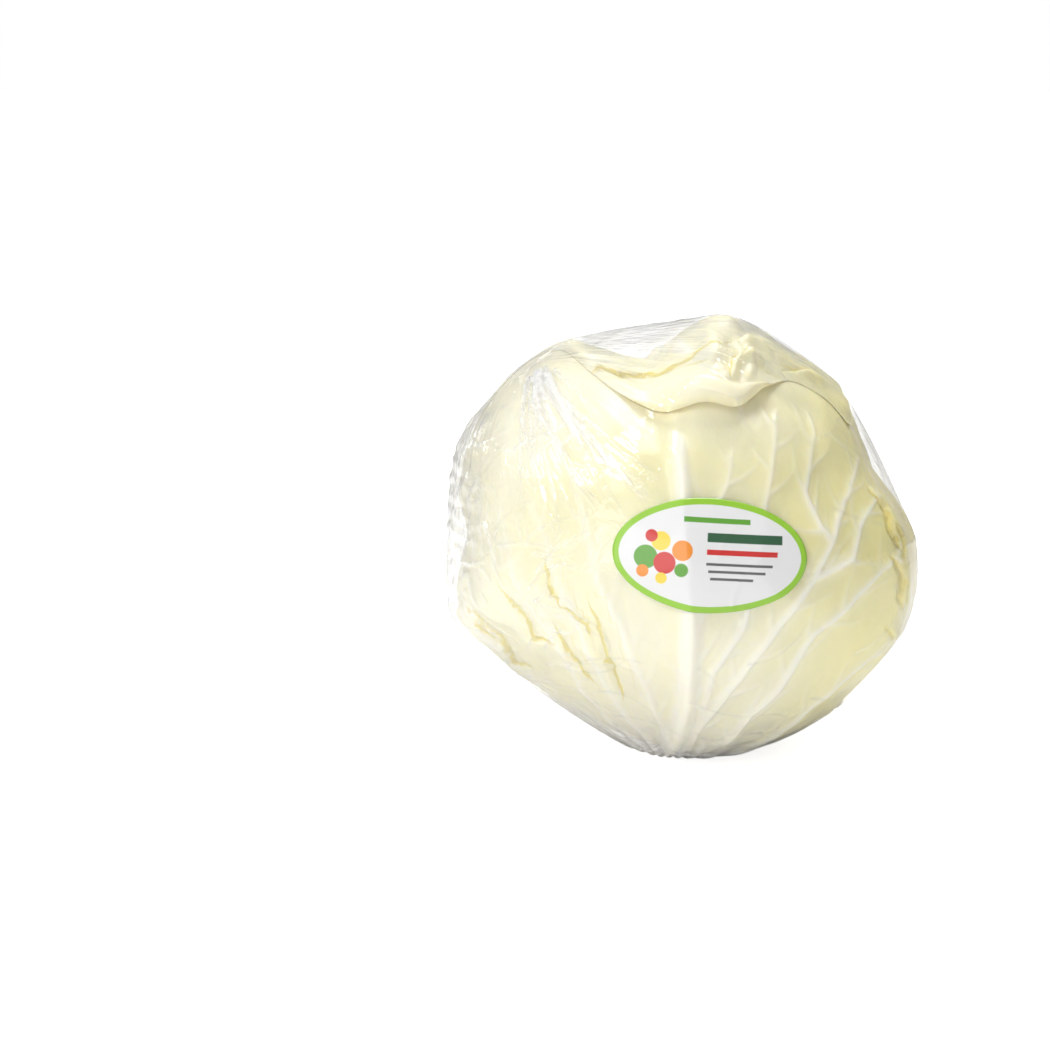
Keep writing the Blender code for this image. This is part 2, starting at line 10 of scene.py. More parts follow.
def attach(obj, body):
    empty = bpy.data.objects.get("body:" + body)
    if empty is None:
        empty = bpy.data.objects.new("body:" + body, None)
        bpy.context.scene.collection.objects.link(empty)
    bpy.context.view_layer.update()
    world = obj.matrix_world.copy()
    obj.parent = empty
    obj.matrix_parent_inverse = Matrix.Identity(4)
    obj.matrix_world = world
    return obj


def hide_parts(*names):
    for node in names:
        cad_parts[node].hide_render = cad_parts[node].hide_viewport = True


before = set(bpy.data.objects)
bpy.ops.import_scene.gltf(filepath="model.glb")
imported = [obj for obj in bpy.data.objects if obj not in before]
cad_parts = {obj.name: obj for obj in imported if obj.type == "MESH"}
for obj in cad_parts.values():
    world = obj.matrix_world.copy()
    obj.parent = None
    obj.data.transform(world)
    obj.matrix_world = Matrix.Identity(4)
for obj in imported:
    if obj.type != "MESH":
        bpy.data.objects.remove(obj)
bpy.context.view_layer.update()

MM = 0.001

# The heart is the dense ball of inner leaves that everything else wraps. It is pale leaf tissue,
# packed hard, and only the margins of its outermost leaves stand out as low steps at the crown.
HEAD_CENTRE = np.array([-2.5, -1.9, 94.5]) * MM
OUTLINE_LEAN = 12.0
# Radii in millimetres, every 20 degrees from the right over the crown.
OUTLINE = (106.4, 94.5, 98.0, 96.0, 99.2, 81.6, 99.6, 104.4, 104.0,
           96.8, 104.4, 95.4, 91.2, 92.2, 98.8, 104.2, 105.4, 110.4)
HALF_DEPTH = 99.0
STACK = 5.0
HEART_GAP = 1.7
HEART_NET = 110
HEART_MARGIN = (52, 46, 44, 48, 40, 44, 50, 54, 60, 62, 60, 56)
HEART_LEAVES = ((40.0, 70.0), (200.0, 62.0), (300.0, 66.0))
HEART_STEP = 1.2
HEART_STEP_WIDTH = 3.0
HEART_RADIUS = 90
HEART_SWELL = 0.3
HEART_LUMP = 22
HEART_SEED = 3
HEART_RAISED = 2.0
UNDERSIDE = -0.8
UNDERSIDE_STEP = 2.2
UNDERSIDE_ROUNDING = 3.0
LEAF_COUNT = 4
RIPPLE_WAVES = 14


def around(values, angle):
    """A smooth closed curve through evenly spaced values, read at angles in radians."""
    values = np.asarray(values, float)
    place = np.asarray(angle) / (2 * math.pi) * len(values)
    first = np.floor(place).astype(int)
    t = place - first
    a, b, c, d = (values[(first + k) % len(values)] for k in (-1, 0, 1, 2))
    return 0.5 * (2 * b + (c - a) * t + (2 * a - 5 * b + 4 * c - d) * t ** 2
                  + (3 * b - a - 3 * c + d) * t ** 3)


def smooth_step(x, start, end):
    t = np.clip((x - start) / (end - start), 0.0, 1.0)
    return t * t * (3 - 2 * t)


def head_radius(out):
    """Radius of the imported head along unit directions, in millimetres."""
    lean = math.radians(OUTLINE_LEAN)
    depth = out @ np.array([0.0, -math.cos(lean), math.sin(lean)])
    across = out[:, 0]
    rise = out @ np.array([0.0, math.sin(lean), math.cos(lean)])
    outline = around(OUTLINE, np.arctan2(rise, across))
    return 1.0 / np.sqrt((across ** 2 + rise ** 2) / outline ** 2 + depth ** 2 / HALF_DEPTH ** 2)


def axes(azimuth, elevation):
    """Right, up and outward axes of a piece of the surface. Azimuth 0 faces -Y, 90 faces +X."""
    turn, tip = math.radians(azimuth), math.radians(elevation)
    out = np.array([math.sin(turn) * math.cos(tip), -math.cos(turn) * math.cos(tip), math.sin(tip)])
    up = np.array([0.0, 0.0, 1.0]) - out * out[2]
    up /= np.linalg.norm(up)
    return np.cross(up, out), up, out


def to_plane(middle, out):
    """Places of directions round a middle, in degrees right and up along the surface."""
    right, up, facing = axes(*middle)
    turn = np.arccos(np.clip(out @ facing, -1.0, 1.0))
    scale = np.degrees(turn) / np.maximum(np.sin(turn), 1e-9)
    return np.stack([out @ right * scale, out @ up * scale], axis=1)


def inside(outline, flat):
    """Distance in millimetres from a margin, positive on the leaf."""
    reach = around(outline, np.arctan2(flat[:, 1], flat[:, 0]))
    return np.radians(reach - np.hypot(flat[:, 0], flat[:, 1])) * HALF_DEPTH


def lift_underside(points, floor):
    """The head's underside is pressed flat: each layer has its own lowest level, in millimetres."""
    above = points[:, 2] - floor * MM
    width = UNDERSIDE_ROUNDING * MM
    raised = points.copy()
    raised[:, 2] = floor * MM + 0.5 * (above + np.sqrt(above ** 2 + width ** 2))
    return raised


def floor_of(level):
    return UNDERSIDE + UNDERSIDE_STEP * (LEAF_COUNT - 1 - level)


def ripple(points, size, seed):
    """Smooth random relief between about -1 and 1 over points in millimetres, at one size of lump."""
    draw = np.random.default_rng(seed)
    waves = draw.normal(size=(RIPPLE_WAVES, 3))
    waves /= np.linalg.norm(waves, axis=1)[:, None]
    waves *= draw.uniform(0.7, 1.5, (RIPPLE_WAVES, 1)) * 2 * math.pi / size
    shifts = draw.uniform(0, 2 * math.pi, RIPPLE_WAVES)
    return np.sin(points @ waves.T + shifts).sum(axis=1) / math.sqrt(RIPPLE_WAVES)


def net_faces(count):
    """Four-sided faces of a square net with so many squares along each side."""
    row = np.arange(count)
    corner = (row[:, None] * (count + 1) + row[None, :]).ravel()
    return np.stack([corner, corner + 1, corner + count + 2, corner + count + 1], axis=1)


def cube_directions(count):
    """Directions and four-sided faces of a net over a ball: six square nets joined at their sides."""
    step = np.tan(np.linspace(-math.pi / 4, math.pi / 4, count + 1))
    u, v = (a.ravel() for a in np.meshgrid(step, step))
    one = np.ones_like(u)
    sides = [(u, v, one), (v, u, -one), (one, u, v), (-one, v, u), (v, one, u), (u, -one, v)]
    points = np.concatenate([np.stack(side, axis=1) for side in sides])
    points /= np.linalg.norm(points, axis=1)[:, None]
    faces = np.concatenate([net_faces(count) + side * (count + 1) ** 2 for side in range(6)])
    _, first, index = np.unique(np.round(points, 7), axis=0, return_index=True, return_inverse=True)
    return points[first], index.reshape(-1)[faces]


def new_piece(name, points, faces, material, coordinates=None, masks=None):
    """A smooth mesh piece, with places on the leaf as its UV map and its masks as point attributes."""
    mesh = bpy.data.meshes.new(name)
    mesh.vertices.add(len(points))
    mesh.vertices.foreach_set("co", np.asarray(points, np.float32).ravel())
    sides = np.asarray(faces, np.int32)
    mesh.loops.add(sides.size)
    mesh.loops.foreach_set("vertex_index", sides.ravel())
    mesh.polygons.add(len(sides))
    mesh.polygons.foreach_set("loop_start", np.arange(0, sides.size, sides.shape[1], dtype=np.int32))
    mesh.update(calc_edges=True)
    mesh.validate()
    if coordinates is not None:
        layer = mesh.uv_layers.new(name="leaf")
        layer.data.foreach_set("uv", np.asarray(coordinates, np.float32)[sides.ravel()].ravel())
    for mask, values in (masks or {}).items():
        attribute = mesh.attributes.new(mask, "FLOAT", "POINT")
        attribute.data.foreach_set("value", np.asarray(values, np.float32))
    mesh.shade_smooth()
    mesh.materials.append(material)
    piece = bpy.data.objects.new(name, mesh)
    bpy.context.scene.collection.objects.link(piece)
    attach(piece, "root")
    return piece


def feed(tree, socket, value):
    """Links an input to another node's output, or sets it to a constant. Colours are opaque."""
    if isinstance(value, bpy.types.NodeSocket):
        tree.links.new(value, socket)
    else:
        socket.default_value = (*value, 1.0) if socket.type == "RGBA" else value


def feed_all(tree, node, inputs):
    for name, value in inputs.items():
        feed(tree, node.inputs[name], value)


def add_node(tree, kind, inputs=None, **settings):
    """A shader node of a kind, with its settings and inputs."""
    made = tree.nodes.new("ShaderNode" + kind)
    for name, value in settings.items():
        setattr(made, name, value)
    feed_all(tree, made, inputs or {})
    return made


def calculate(tree, operation, *values, clamp=False):
    """One step of arithmetic on outputs and numbers."""
    return add_node(tree, "Math", dict(enumerate(values)), operation=operation, use_clamp=clamp).outputs[0]


def remap(tree, value, start, end, low=0.0, high=1.0, shape="LINEAR"):
    """The range from start to end spread over low to high, and held beyond its ends."""
    inputs = {"Value": value, "From Min": start, "From Max": end, "To Min": low, "To Max": high}
    return add_node(tree, "MapRange", inputs, interpolation_type=shape).outputs[0]


def mix_colours(tree, first, second, factor, blend="MIX"):
    inputs = {"Factor": factor, "A": first, "B": second}
    return add_node(tree, "Mix", inputs, data_type="RGBA", blend_type=blend).outputs["Result"]


def attribute(tree, name):
    return add_node(tree, "Attribute", attribute_name=name).outputs["Fac"]


def bumped(tree, height, strength, distance):
    inputs = {"Height": height, "Strength": strength, "Distance": distance}
    return add_node(tree, "Bump", inputs).outputs["Normal"]


def noise(tree, place, scale, detail):
    inputs = {"Vector": place, "Scale": scale, "Detail": detail}
    return add_node(tree, "TexNoise", inputs).outputs["Fac"]


def new_material(name):
    material = bpy.data.materials.new(name)
    material.use_nodes = True
    return material, material.node_tree, material.node_tree.nodes["Principled BSDF"]


def effect(name, **made):
    """A node group whose outputs are made by functions of its tree and of a place on the object."""
    group = bpy.data.node_groups.new(name, "ShaderNodeTree")
    place = add_node(group, "TexCoord").outputs["Object"]
    outputs = group.nodes.new("NodeGroupOutput")
    for socket, build in made.items():
        group.interface.new_socket(socket, in_out="OUTPUT", socket_type="NodeSocketFloat")
        group.links.new(build(group, place), outputs.inputs[socket])
    return group


PORE_DEPTH = 0.12


def tissue_clouds(tree, place):
    return noise(tree, place, 30.0, 4.0)


def tissue_height(tree, place):
    """Soft lumps with fine pores on them."""
    lumps, pores = noise(tree, place, 110.0, 3.0), noise(tree, place, 900.0, 2.0)
    return calculate(tree, "MULTIPLY_ADD", pores, PORE_DEPTH, lumps)


TISSUE = effect("tissue_relief", Clouds=tissue_clouds, Height=tissue_height)
# Painted shadow: the yellow of the thin lines along the pleats.
CREASE_SHADOW_YELLOW = (0.88, 0.74, 0.22)
CREASE_WANDER = (-0.8, 3.0)
CREASE_DEPTH = 0.8
HEART_BLADE = (0.95, 0.89, 0.6)
HEART_GREEN = (0.9, 0.86, 0.5)
HEART_RIB = (0.95, 0.91, 0.75)
# The heart's yellow: painted shade in its folds, and its margin's own faint tint.
HEART_SHADE_AND_MARGIN_YELLOW = (0.93, 0.83, 0.45)


def crease_line(tree, place):
    """Thin crack-like lines along the pleats, from the distance in millimetres, deeper in a thick blade:
    painted shadow and a groove.
    """
    wander = remap(tree, noise(tree, place, 170.0, 3.0), 0.0, 1.0, *CREASE_WANDER)
    away = calculate(tree, "ABSOLUTE", calculate(tree, "ADD", attribute(tree, "gap"), wander))
    near = remap(tree, away, 0.0, 1.0, 1.0, 0.0, "SMOOTHSTEP")
    return calculate(tree, "MULTIPLY", near, attribute(tree, "depth"))


CREASE_GROOVES_AND_SHADOW = effect("crease_grooves_and_shadow", Line=crease_line)


def leaf_tissue(name, blade, green, rib, shade_and_margin_tint):
    """Pale cabbage tissue: blade colour clouded with green, white ribs, painted shade in folds and on the
    right.
    """
    material, tree, shader = new_material(name)
    tissue = add_node(tree, "Group", node_tree=TISSUE)
    line = add_node(tree, "Group", node_tree=CREASE_GROOVES_AND_SHADOW).outputs["Line"]
    clouded = remap(tree, tissue.outputs["Clouds"], 0.35, 0.75)
    colour = blade
    for tint, factor, most in (
        # Greener at the crown, and painted shade: yellow-green on the head's right side.
        (green, attribute(tree, "tip"), 1.0),
        (green, clouded, 0.3),
        # Painted shade: a yellow tint in the folds and beside the ribs.
        (shade_and_margin_tint, attribute(tree, "crease"), 0.8),
        (rib, attribute(tree, "rib"), 0.85),
        # The same yellow, faintly, as the margin's own tint.
        (shade_and_margin_tint, attribute(tree, "margin"), 0.12),
        # Painted shadow: yellow lines along the creases.
        (CREASE_SHADOW_YELLOW, line, 0.75),
    ):
        colour = mix_colours(tree, colour, tint, remap(tree, factor, 0.0, 1.0, 0.0, most))
    height = calculate(tree, "MULTIPLY_ADD", line, -CREASE_DEPTH, tissue.outputs["Height"])
    feed_all(tree, shader, {
        "Base Color": colour, "Normal": bumped(tree, height, 0.35, 0.0012), "Roughness": 0.34,
        "Subsurface Weight": 0.35, "Subsurface Radius": (1.0, 0.75, 0.35), "Subsurface Scale": 0.004})
    return material


out, faces = cube_directions(HEART_NET)
relief = sum(HEART_STEP * smooth_step(inside(HEART_MARGIN, to_plane(middle, out)), 0.0, HEART_STEP_WIDTH)
             for middle in HEART_LEAVES)
radius = head_radius(out) - STACK - HEART_GAP + relief
radius += HEART_SWELL * ripple(out * HEART_RADIUS, HEART_LUMP, HEART_SEED)
points = lift_underside(HEAD_CENTRE + out * radius[:, None] * MM, floor_of(-1) + HEART_RAISED)
heart_tissue = leaf_tissue("heart_tissue", HEART_BLADE, HEART_GREEN, HEART_RIB, HEART_SHADE_AND_MARGIN_YELLOW)
heart = new_piece("inner_leaves", points, faces, heart_tissue)
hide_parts("heart")

# The cut stem is a short plug of the same pale tissue, sliced flat under the head. Its cut face is
# a little domed and fibrous, with a darker ring where it has dried.
STALK_RADIUS = 14.0
STALK_LIFT = 1.4
STALK_TOP = 10.2
STALK_SIDES = 96


def stem_tissue():
    """Fibrous tissue whose colour goes from the middle of the cut to a dry brown ring at its edge."""
    material, tree, shader = new_material("stem_tissue")
    place = add_node(tree, "TexCoord").outputs["Object"]
    fibres = add_node(tree, "TexVoronoi", {"Scale": 700.0, "Vector": place}).outputs["Distance"]
    flat = add_node(tree, "VectorMath", {0: place, 1: (1.0, 1.0, 0.0)}, operation="MULTIPLY").outputs[0]
    away = add_node(tree, "VectorMath", {0: flat}, operation="LENGTH").outputs["Value"]
    dried = add_node(tree, "ValToRGB", {"Fac": remap(tree, away, 0.0, STALK_RADIUS * MM)})
    middle, edge = dried.color_ramp.elements
    middle.color = (0.72, 0.66, 0.42, 1)
    edge.color, edge.position = (0.5, 0.38, 0.2, 1), 0.95
    dried.color_ramp.elements.new(0.7).color = (0.8, 0.75, 0.52, 1)
    colour = mix_colours(tree, dried.outputs["Color"], fibres, 0.35, "MULTIPLY")
    normal = bumped(tree, fibres, 0.6, 0.0008)
    feed_all(tree, shader, {"Base Color": colour, "Normal": normal, "Roughness": 0.65})
    return material


turns = np.arange(STALK_SIDES) * 2 * math.pi / STALK_SIDES
profile = [(0.05, STALK_TOP), (0.88, STALK_TOP), (0.97, STALK_TOP - 0.5), (1.0, STALK_TOP - 1.5),
           (1.0, STALK_LIFT + 1.4), (0.97, STALK_LIFT + 0.6), (0.9, STALK_LIFT + 0.25),
           (0.6, STALK_LIFT + 0.05), (0.3, STALK_LIFT), (0.05, STALK_LIFT)]
wobble = 1 + 0.015 * np.sin(3 * turns + 1) + 0.01 * np.sin(7 * turns)
rings = [np.stack([STALK_RADIUS * share * wobble * np.cos(turns),
                   STALK_RADIUS * share * wobble * np.sin(turns),
                   np.full(STALK_SIDES, level)], axis=1) for share, level in profile]
points = np.concatenate(rings) * MM
around_ring = np.arange(STALK_SIDES)
after = (around_ring + 1) % STALK_SIDES
faces = np.concatenate([np.stack([around_ring + i * STALK_SIDES, around_ring + (i + 1) * STALK_SIDES,
                                  after + (i + 1) * STALK_SIDES, after + i * STALK_SIDES], axis=1)
                        for i in range(len(profile) - 1)])
stalk = new_piece("cut_stem", points, faces, stem_tissue())
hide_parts("cut_stalk")

# The four outer leaves wrap the heart one over the other. Each is a thin blade with a thick midrib,
# side ribs that stand out of its outer face, and a margin that is waved and rolled outwards in places.
BLADE = 1.7
MARGIN_BLADE = 0.5
TOUCHING = 0.1
LEAF_GAP = 0.35
COVERED_RIB = 0.15
STEP_FAR = 12.0
STEP_NEAR = 2.0
REACHES = ((62.0, 20.0), (56.0, 34.0), (46.0, 44.0), (36.0, 48.0), (26.0, 46.0))
FAN_STARTS = (0.06, 0.62)
FAN_OFFSET = 3.0
FAN_BEND = 1.45
Leaf = namedtuple("Leaf", "name azimuth elevation outline curl roll midrib ribs folds pleats net frill seed")
Rib = namedtuple("Rib", "points width height")


def fan(base, tip, reaches):
    """Side ribs on both sides of a midrib from base to tip: the lowest reach widest and all curve up."""
    made = []
    for i, (across, rise) in enumerate(reaches):
        start = base + (tip - base) * (FAN_STARTS[0] + FAN_STARTS[1] * i / len(reaches))
        for side in (-1.0, 1.0):
            lean = start + FAN_OFFSET * side
            points = [(side * across * math.sin(t * FAN_BEND), lean + rise * t ** 1.5)
                      for t in (0.0, 0.2, 0.4, 0.6, 0.8, 1.0)]
            made.append(Rib(points, 3.0 - 0.25 * i, 2.3 - 0.2 * i))
    return made


# Points are in degrees right of and above a leaf's middle, widths and heights in millimetres.
FRONT_RIBS = [
    Rib([(0, -60), (2, -50), (2, -33), (2, -23), (3, -14), (7, 3), (8, 17), (10, 21), (13, 37), (13, 44)],
        2.6, 1.5),
    Rib([(1, -70), (3, -61), (5, -45), (7, -27), (14, -15), (17, 2), (20, 17), (24, 33), (26, 42)], 2.8, 1.8),
    Rib([(1, -76), (3, -66), (4, -51), (11, -34), (16, -25), (22, -16), (27, -9), (32, -3), (36, 4), (39, 9),
         (42, 13), (48, 21), (57, 30)], 3.3, 2.6),
    Rib([(37, 6), (34, 10), (32, 19), (34, 26), (36, 35), (36, 42)], 2.4, 1.5),
    Rib([(32, -3), (38, -1), (43, 1), (46, 6), (50, 12), (58, 17), (67, 23)], 2.6, 1.6),
    Rib([(2, -78), (7, -68), (12, -60), (18, -42), (25, -34), (29, -25), (33, -18), (40, -13), (46, -8),
         (54, -3), (62, 1)], 3.4, 2.7),
    Rib([(6, -80), (14, -72), (28, -57), (37, -44), (47, -37), (60, -29), (67, -22)], 3.1, 2.2),
    Rib([(-3, -72), (-5, -55), (-10, -36), (-15, -22), (-18, -13), (-22, -4), (-26, 10), (-29, 24)],
        3.2, 1.9),
    Rib([(-5, -80), (-12, -66), (-18, -48), (-24, -33), (-28, -17), (-34, -2), (-42, 16)], 3.2, 1.9),
    Rib([(-9, -82), (-20, -68), (-29, -46), (-33, -31), (-37, -20), (-46, -6), (-56, 14)], 3.2, 2.0),
    Rib([(-16, -82), (-34, -66), (-48, -50), (-60, -34), (-70, -16), (-80, 4), (-88, 22)], 3.2, 2.0),
    Rib([(-26, -82), (-54, -68), (-72, -50), (-80, -38)], 3.2, 2.0),
]
# A leaf's outline and curl are in degrees and its roll in millimetres, evenly spaced round its middle.
LEAVES = (
    Leaf("leaf_back", 180.0, 5.0, (72, 74, 76, 74, 76, 74, 72, 72, 73, 84, 73, 72),
         (0,) * 12, (4.0,), Rib([(0, -84), (0, -50), (2, -20), (0, 20), (2, 62)], 8.0, 4.6),
         fan(-84.0, 70.0, REACHES), (), (), 180, 0.0, 11),
    Leaf("leaf_right", 118.0, 0.0, (68, 70, 80, 90, 88, 70, 56, 54, 64, 77, 68, 66),
         (0,) * 12, (3.4,), Rib([(0, -80), (1, -50), (-2, -20), (0, 20), (-2, 60)], 7.5, 4.4),
         fan(-80.0, 66.0, REACHES), (), (), 190, 0.6, 12),
    Leaf("leaf_front", 3.0, 4.0,
         (72, 72, 72, 70, 68, 61, 60, 72, 96, 112, 120, 124,
          126, 126, 120, 112, 99, 88, 84, 79, 76, 76, 76, 74),
         (105, 60, 0, 0, 0, 0, 0, 0, 0, 0, 0, 30), (3.6,),
         Rib([(-4, -84), (-1, -57), (1, -37), (1, -20), (1, -10), (0, 2), (-1, 17), (-2, 27), (-3, 46)],
             7.5, 4.2),
         FRONT_RIBS,
         (Rib([(-70, -12), (-58, -17), (-48, -20), (-44, -30), (-46, -42)], 9.0, 3.0),
          Rib([(-74, -24), (-66, -30), (-62, -40), (-56, -52)], 9.0, 3.4),
          Rib([(-40, -6), (-33, -14), (-29, -24), (-27, -34)], 8.0, 2.0)),
         (Rib([(-38.5, -23.8), (-43, -23.6), (-43.4, -18.4), (-46, -14.1), (-50.1, -10.4)], 7.0, 2.2),
          Rib([(-48.8, -38.4), (-56.7, -40.4), (-55.5, -30.3), (-56.2, -26.2), (-59.4, -24.1),
               (-64.7, -20.3)], 7.0, 2.6),
          Rib([(-19.9, -28.9), (-23, -26.4), (-24.7, -21.6), (-25.8, -16.4), (-28.6, -15),
               (-31.5, -12.6)], 6.0, 1.5),
          Rib([(-18.1, -39.8), (-20.1, -30.4), (-22.4, -19.8), (-24.4, -11.8)], 8.0, 1.8),
          Rib([(-33.9, -9.2), (-35.5, -6.6), (-36.7, -1.6)], 5.0, 1.2),
          Rib([(-27, -36), (-32, -28), (-35, -20)], 6.0, 1.4),
          Rib([(-58, -30), (-62, -25), (-67, -20)], 4.0, 1.4),
          Rib([(57, 20), (60, 14), (59, 7), (63, 1)], 6.0, 2.6),
          Rib([(62, 10), (66, 5), (65, -2)], 5.0, 2.0),
          Rib([(57, 0), (62, -5), (61, -12), (65, -17)], 6.0, 2.4),
          Rib([(66, -8), (69, -14), (68, -20)], 5.0, 2.0),
          Rib([(58, -21), (63, -26), (68, -26)], 6.0, 1.6)), 214, 0.3, 13),
    Leaf("leaf_left", -160.0, 35.0,
         (52, 49, 46, 44, 44, 50, 78, 96, 107, 109, 96, 88, 90, 95, 80, 66, 59, 58,
          60, 64, 70, 77, 84, 90, 98, 105, 110, 112, 111, 107, 100, 91, 80, 70, 62, 57),
         (0,) * 6 + (15, 120, 200, 210, 90, 20, 20, 25, 15) + (0,) * 21,
         (5.0, 4.0, 4.2, 5.6, 5.0, 5.0, 5.0, 5.0, 5.0, 5.0, 5.0, 5.0),
         Rib([(0, -108), (1, -80), (2, -30), (0, 10), (4, 50), (6, 74)], 8.0, 4.8),
         fan(-108.0, 60.0, REACHES),
         (Rib([(2, 82), (-3, 76), (-3, 68)], 12.0, 5.0),
          Rib([(-1, 92), (10, 91), (24, 85), (36, 75), (43, 66)], 11.0, 3.0),
          Rib([(-2, 97), (-9, 93), (-13, 86), (-10, 79)], 7.0, 5.0),
          Rib([(-12, 63), (1, 64), (15, 64)], 13.0, 4.0),
          Rib([(38, 55), (27, 61), (15, 67)], 9.0, 3.0),
          Rib([(-14, 76), (-26, 74), (-37, 69), (-45, 64)], 8.0, 3.5),
          Rib([(-26, 60), (-40, 60), (-52, 58)], 8.0, 3.0),
          Rib([(-13, 81), (-23, 84), (-33, 79), (-49, 66)], 6.0, 2.6),
          Rib([(-20, 73), (-30, 67), (-38, 62)], 6.0, 2.2),
          Rib([(39, 35), (43, 45), (44, 54)], 7.0, 2.0)),
         (Rib([(44, 62.5), (34.7, 64.2), (31.5, 69.7), (21.3, 71.7), (14.2, 77.4), (7.3, 78.6), (-2, 80)],
              9.0, 2.4),
          Rib([(-18, 82), (-11, 82.5), (-5, 86), (-2, 91)], 6.0, 4.0),
          Rib([(-24, 77), (-17, 75), (-10, 76), (-6, 79)], 5.0, 2.4),
          Rib([(7, 84), (15, 80), (25, 77), (33, 72)], 6.0, 1.0),
          Rib([(-46, 72), (-38, 74), (-28, 80)], 5.0, 2.0),
          Rib([(-36, 80), (-30.2, 84.1), (-19, 86.3)], 6.0, 1.6),
          Rib([(-50, 66), (-42, 70), (-34.2, 73.6), (-24, 76)], 7.0, 1.8)), 214, 0.15, 14),
)


def from_plane(middle, flat):
    right, up, facing = axes(*middle)
    turn = np.radians(np.hypot(flat[:, 0], flat[:, 1]))
    angle = np.arctan2(flat[:, 1], flat[:, 0])
    sideways = np.outer(np.cos(angle), right) + np.outer(np.sin(angle), up)
    return np.outer(np.cos(turn), facing) + sideways * np.sin(turn)[:, None]


def middle_of(leaf):
    return leaf.azimuth, leaf.elevation


def measured(rib):
    """A line's points, the lengths of its segments, and the length gone at each point."""
    points = np.asarray(rib.points, float)
    lengths = np.hypot(*(points[1:] - points[:-1]).T)
    return points, lengths, np.concatenate([[0.0], np.cumsum(lengths)])


def ridge(rib, flat, widen=1.0):
    """A rounded ridge along a line of points, tapering to its end, in millimetres."""
    points, lengths, starts = measured(rib)
    reach = math.degrees(rib.width * widen / HALF_DEPTH)
    height = np.zeros(len(flat))
    for start, end, length, gone in zip(points[:-1], points[1:], lengths, starts):
        low, high = np.minimum(start, end) - reach, np.maximum(start, end) + reach
        near = np.flatnonzero(((flat > low) & (flat < high)).all(axis=1))
        along = np.clip((flat[near] - start) @ (end - start) / length ** 2, 0.0, 1.0)
        away = flat[near] - start - np.outer(along, end - start)
        distance = np.radians(np.hypot(away[:, 0], away[:, 1])) * HALF_DEPTH
        left = 1.0 - 0.75 * (gone + along * length) / starts[-1]
        width = rib.width * widen * (0.45 + 0.55 * left)
        here = rib.height * left * (0.5 + 0.5 * np.cos(math.pi * np.clip(distance / width, 0.0, 1.0)))
        height[near] = np.maximum(height[near], here)
    return height


VEIN_SPACING = 7.0
VEIN_REACH = 13.0
VEIN_FREE_END = 3.0


def branches(rib, seed):
    """Fine side veins that leave a rib to both sides in turn and bend towards its tip."""
    draw = np.random.default_rng(seed)
    made = []
    points, lengths, starts = measured(rib)
    total, gone, side = lengths.sum(), VEIN_FREE_END, 1.0
    while gone < total - VEIN_FREE_END:
        i = min(int(np.searchsorted(starts[1:], gone)), len(lengths) - 1)
        share = (gone - lengths[:i].sum()) / lengths[i]
        start = points[i] + (points[i + 1] - points[i]) * share
        heading = math.atan2(*(points[i + 1] - points[i])[::-1]) + side * draw.uniform(0.75, 1.05)
        place, line = start.copy(), [tuple(start)]
        for _ in range(4):
            heading -= side * draw.uniform(0.02, 0.22)
            onward = np.array([math.cos(heading), math.sin(heading)])
            place = place + VEIN_REACH * draw.uniform(0.18, 0.3) * onward
            line.append(tuple(place))
        made.append(Rib(line, 2.0, 0.85 * (1.0 - 0.4 * gone / total)))
        gone += VEIN_SPACING * draw.uniform(0.7, 1.3)
        side = -side
    return made


MIDRIB_SWELLING = 1.8
RIB_SWELLING = 3.2


def rib_height(leaf, flat):
    """Ribs and their side veins as rounded ridges, each on a broad low swelling of the blade."""
    fine, broad = ridge(leaf.midrib, flat), ridge(leaf.midrib, flat, MIDRIB_SWELLING)
    for number, rib in enumerate(leaf.ribs):
        fine = np.maximum(fine, ridge(rib, flat))
        broad = np.maximum(broad, ridge(rib, flat, RIB_SWELLING))
        for branch in branches(rib, leaf.seed * 100 + number):
            fine = np.maximum(fine, ridge(branch, flat))
    return 1.05 * fine + 0.4 * broad


PLEAT_FAR = 9.0
PLEAT_DROP = 1.4
GROOVE_AT = 1.5
GROOVE_WIDTH = 1.1
GROOVE_DEPTH = 0.6
FOLD_SHADE = 0.3
SHADE_AT = 1.2
SHADE_WIDTH = 1.8


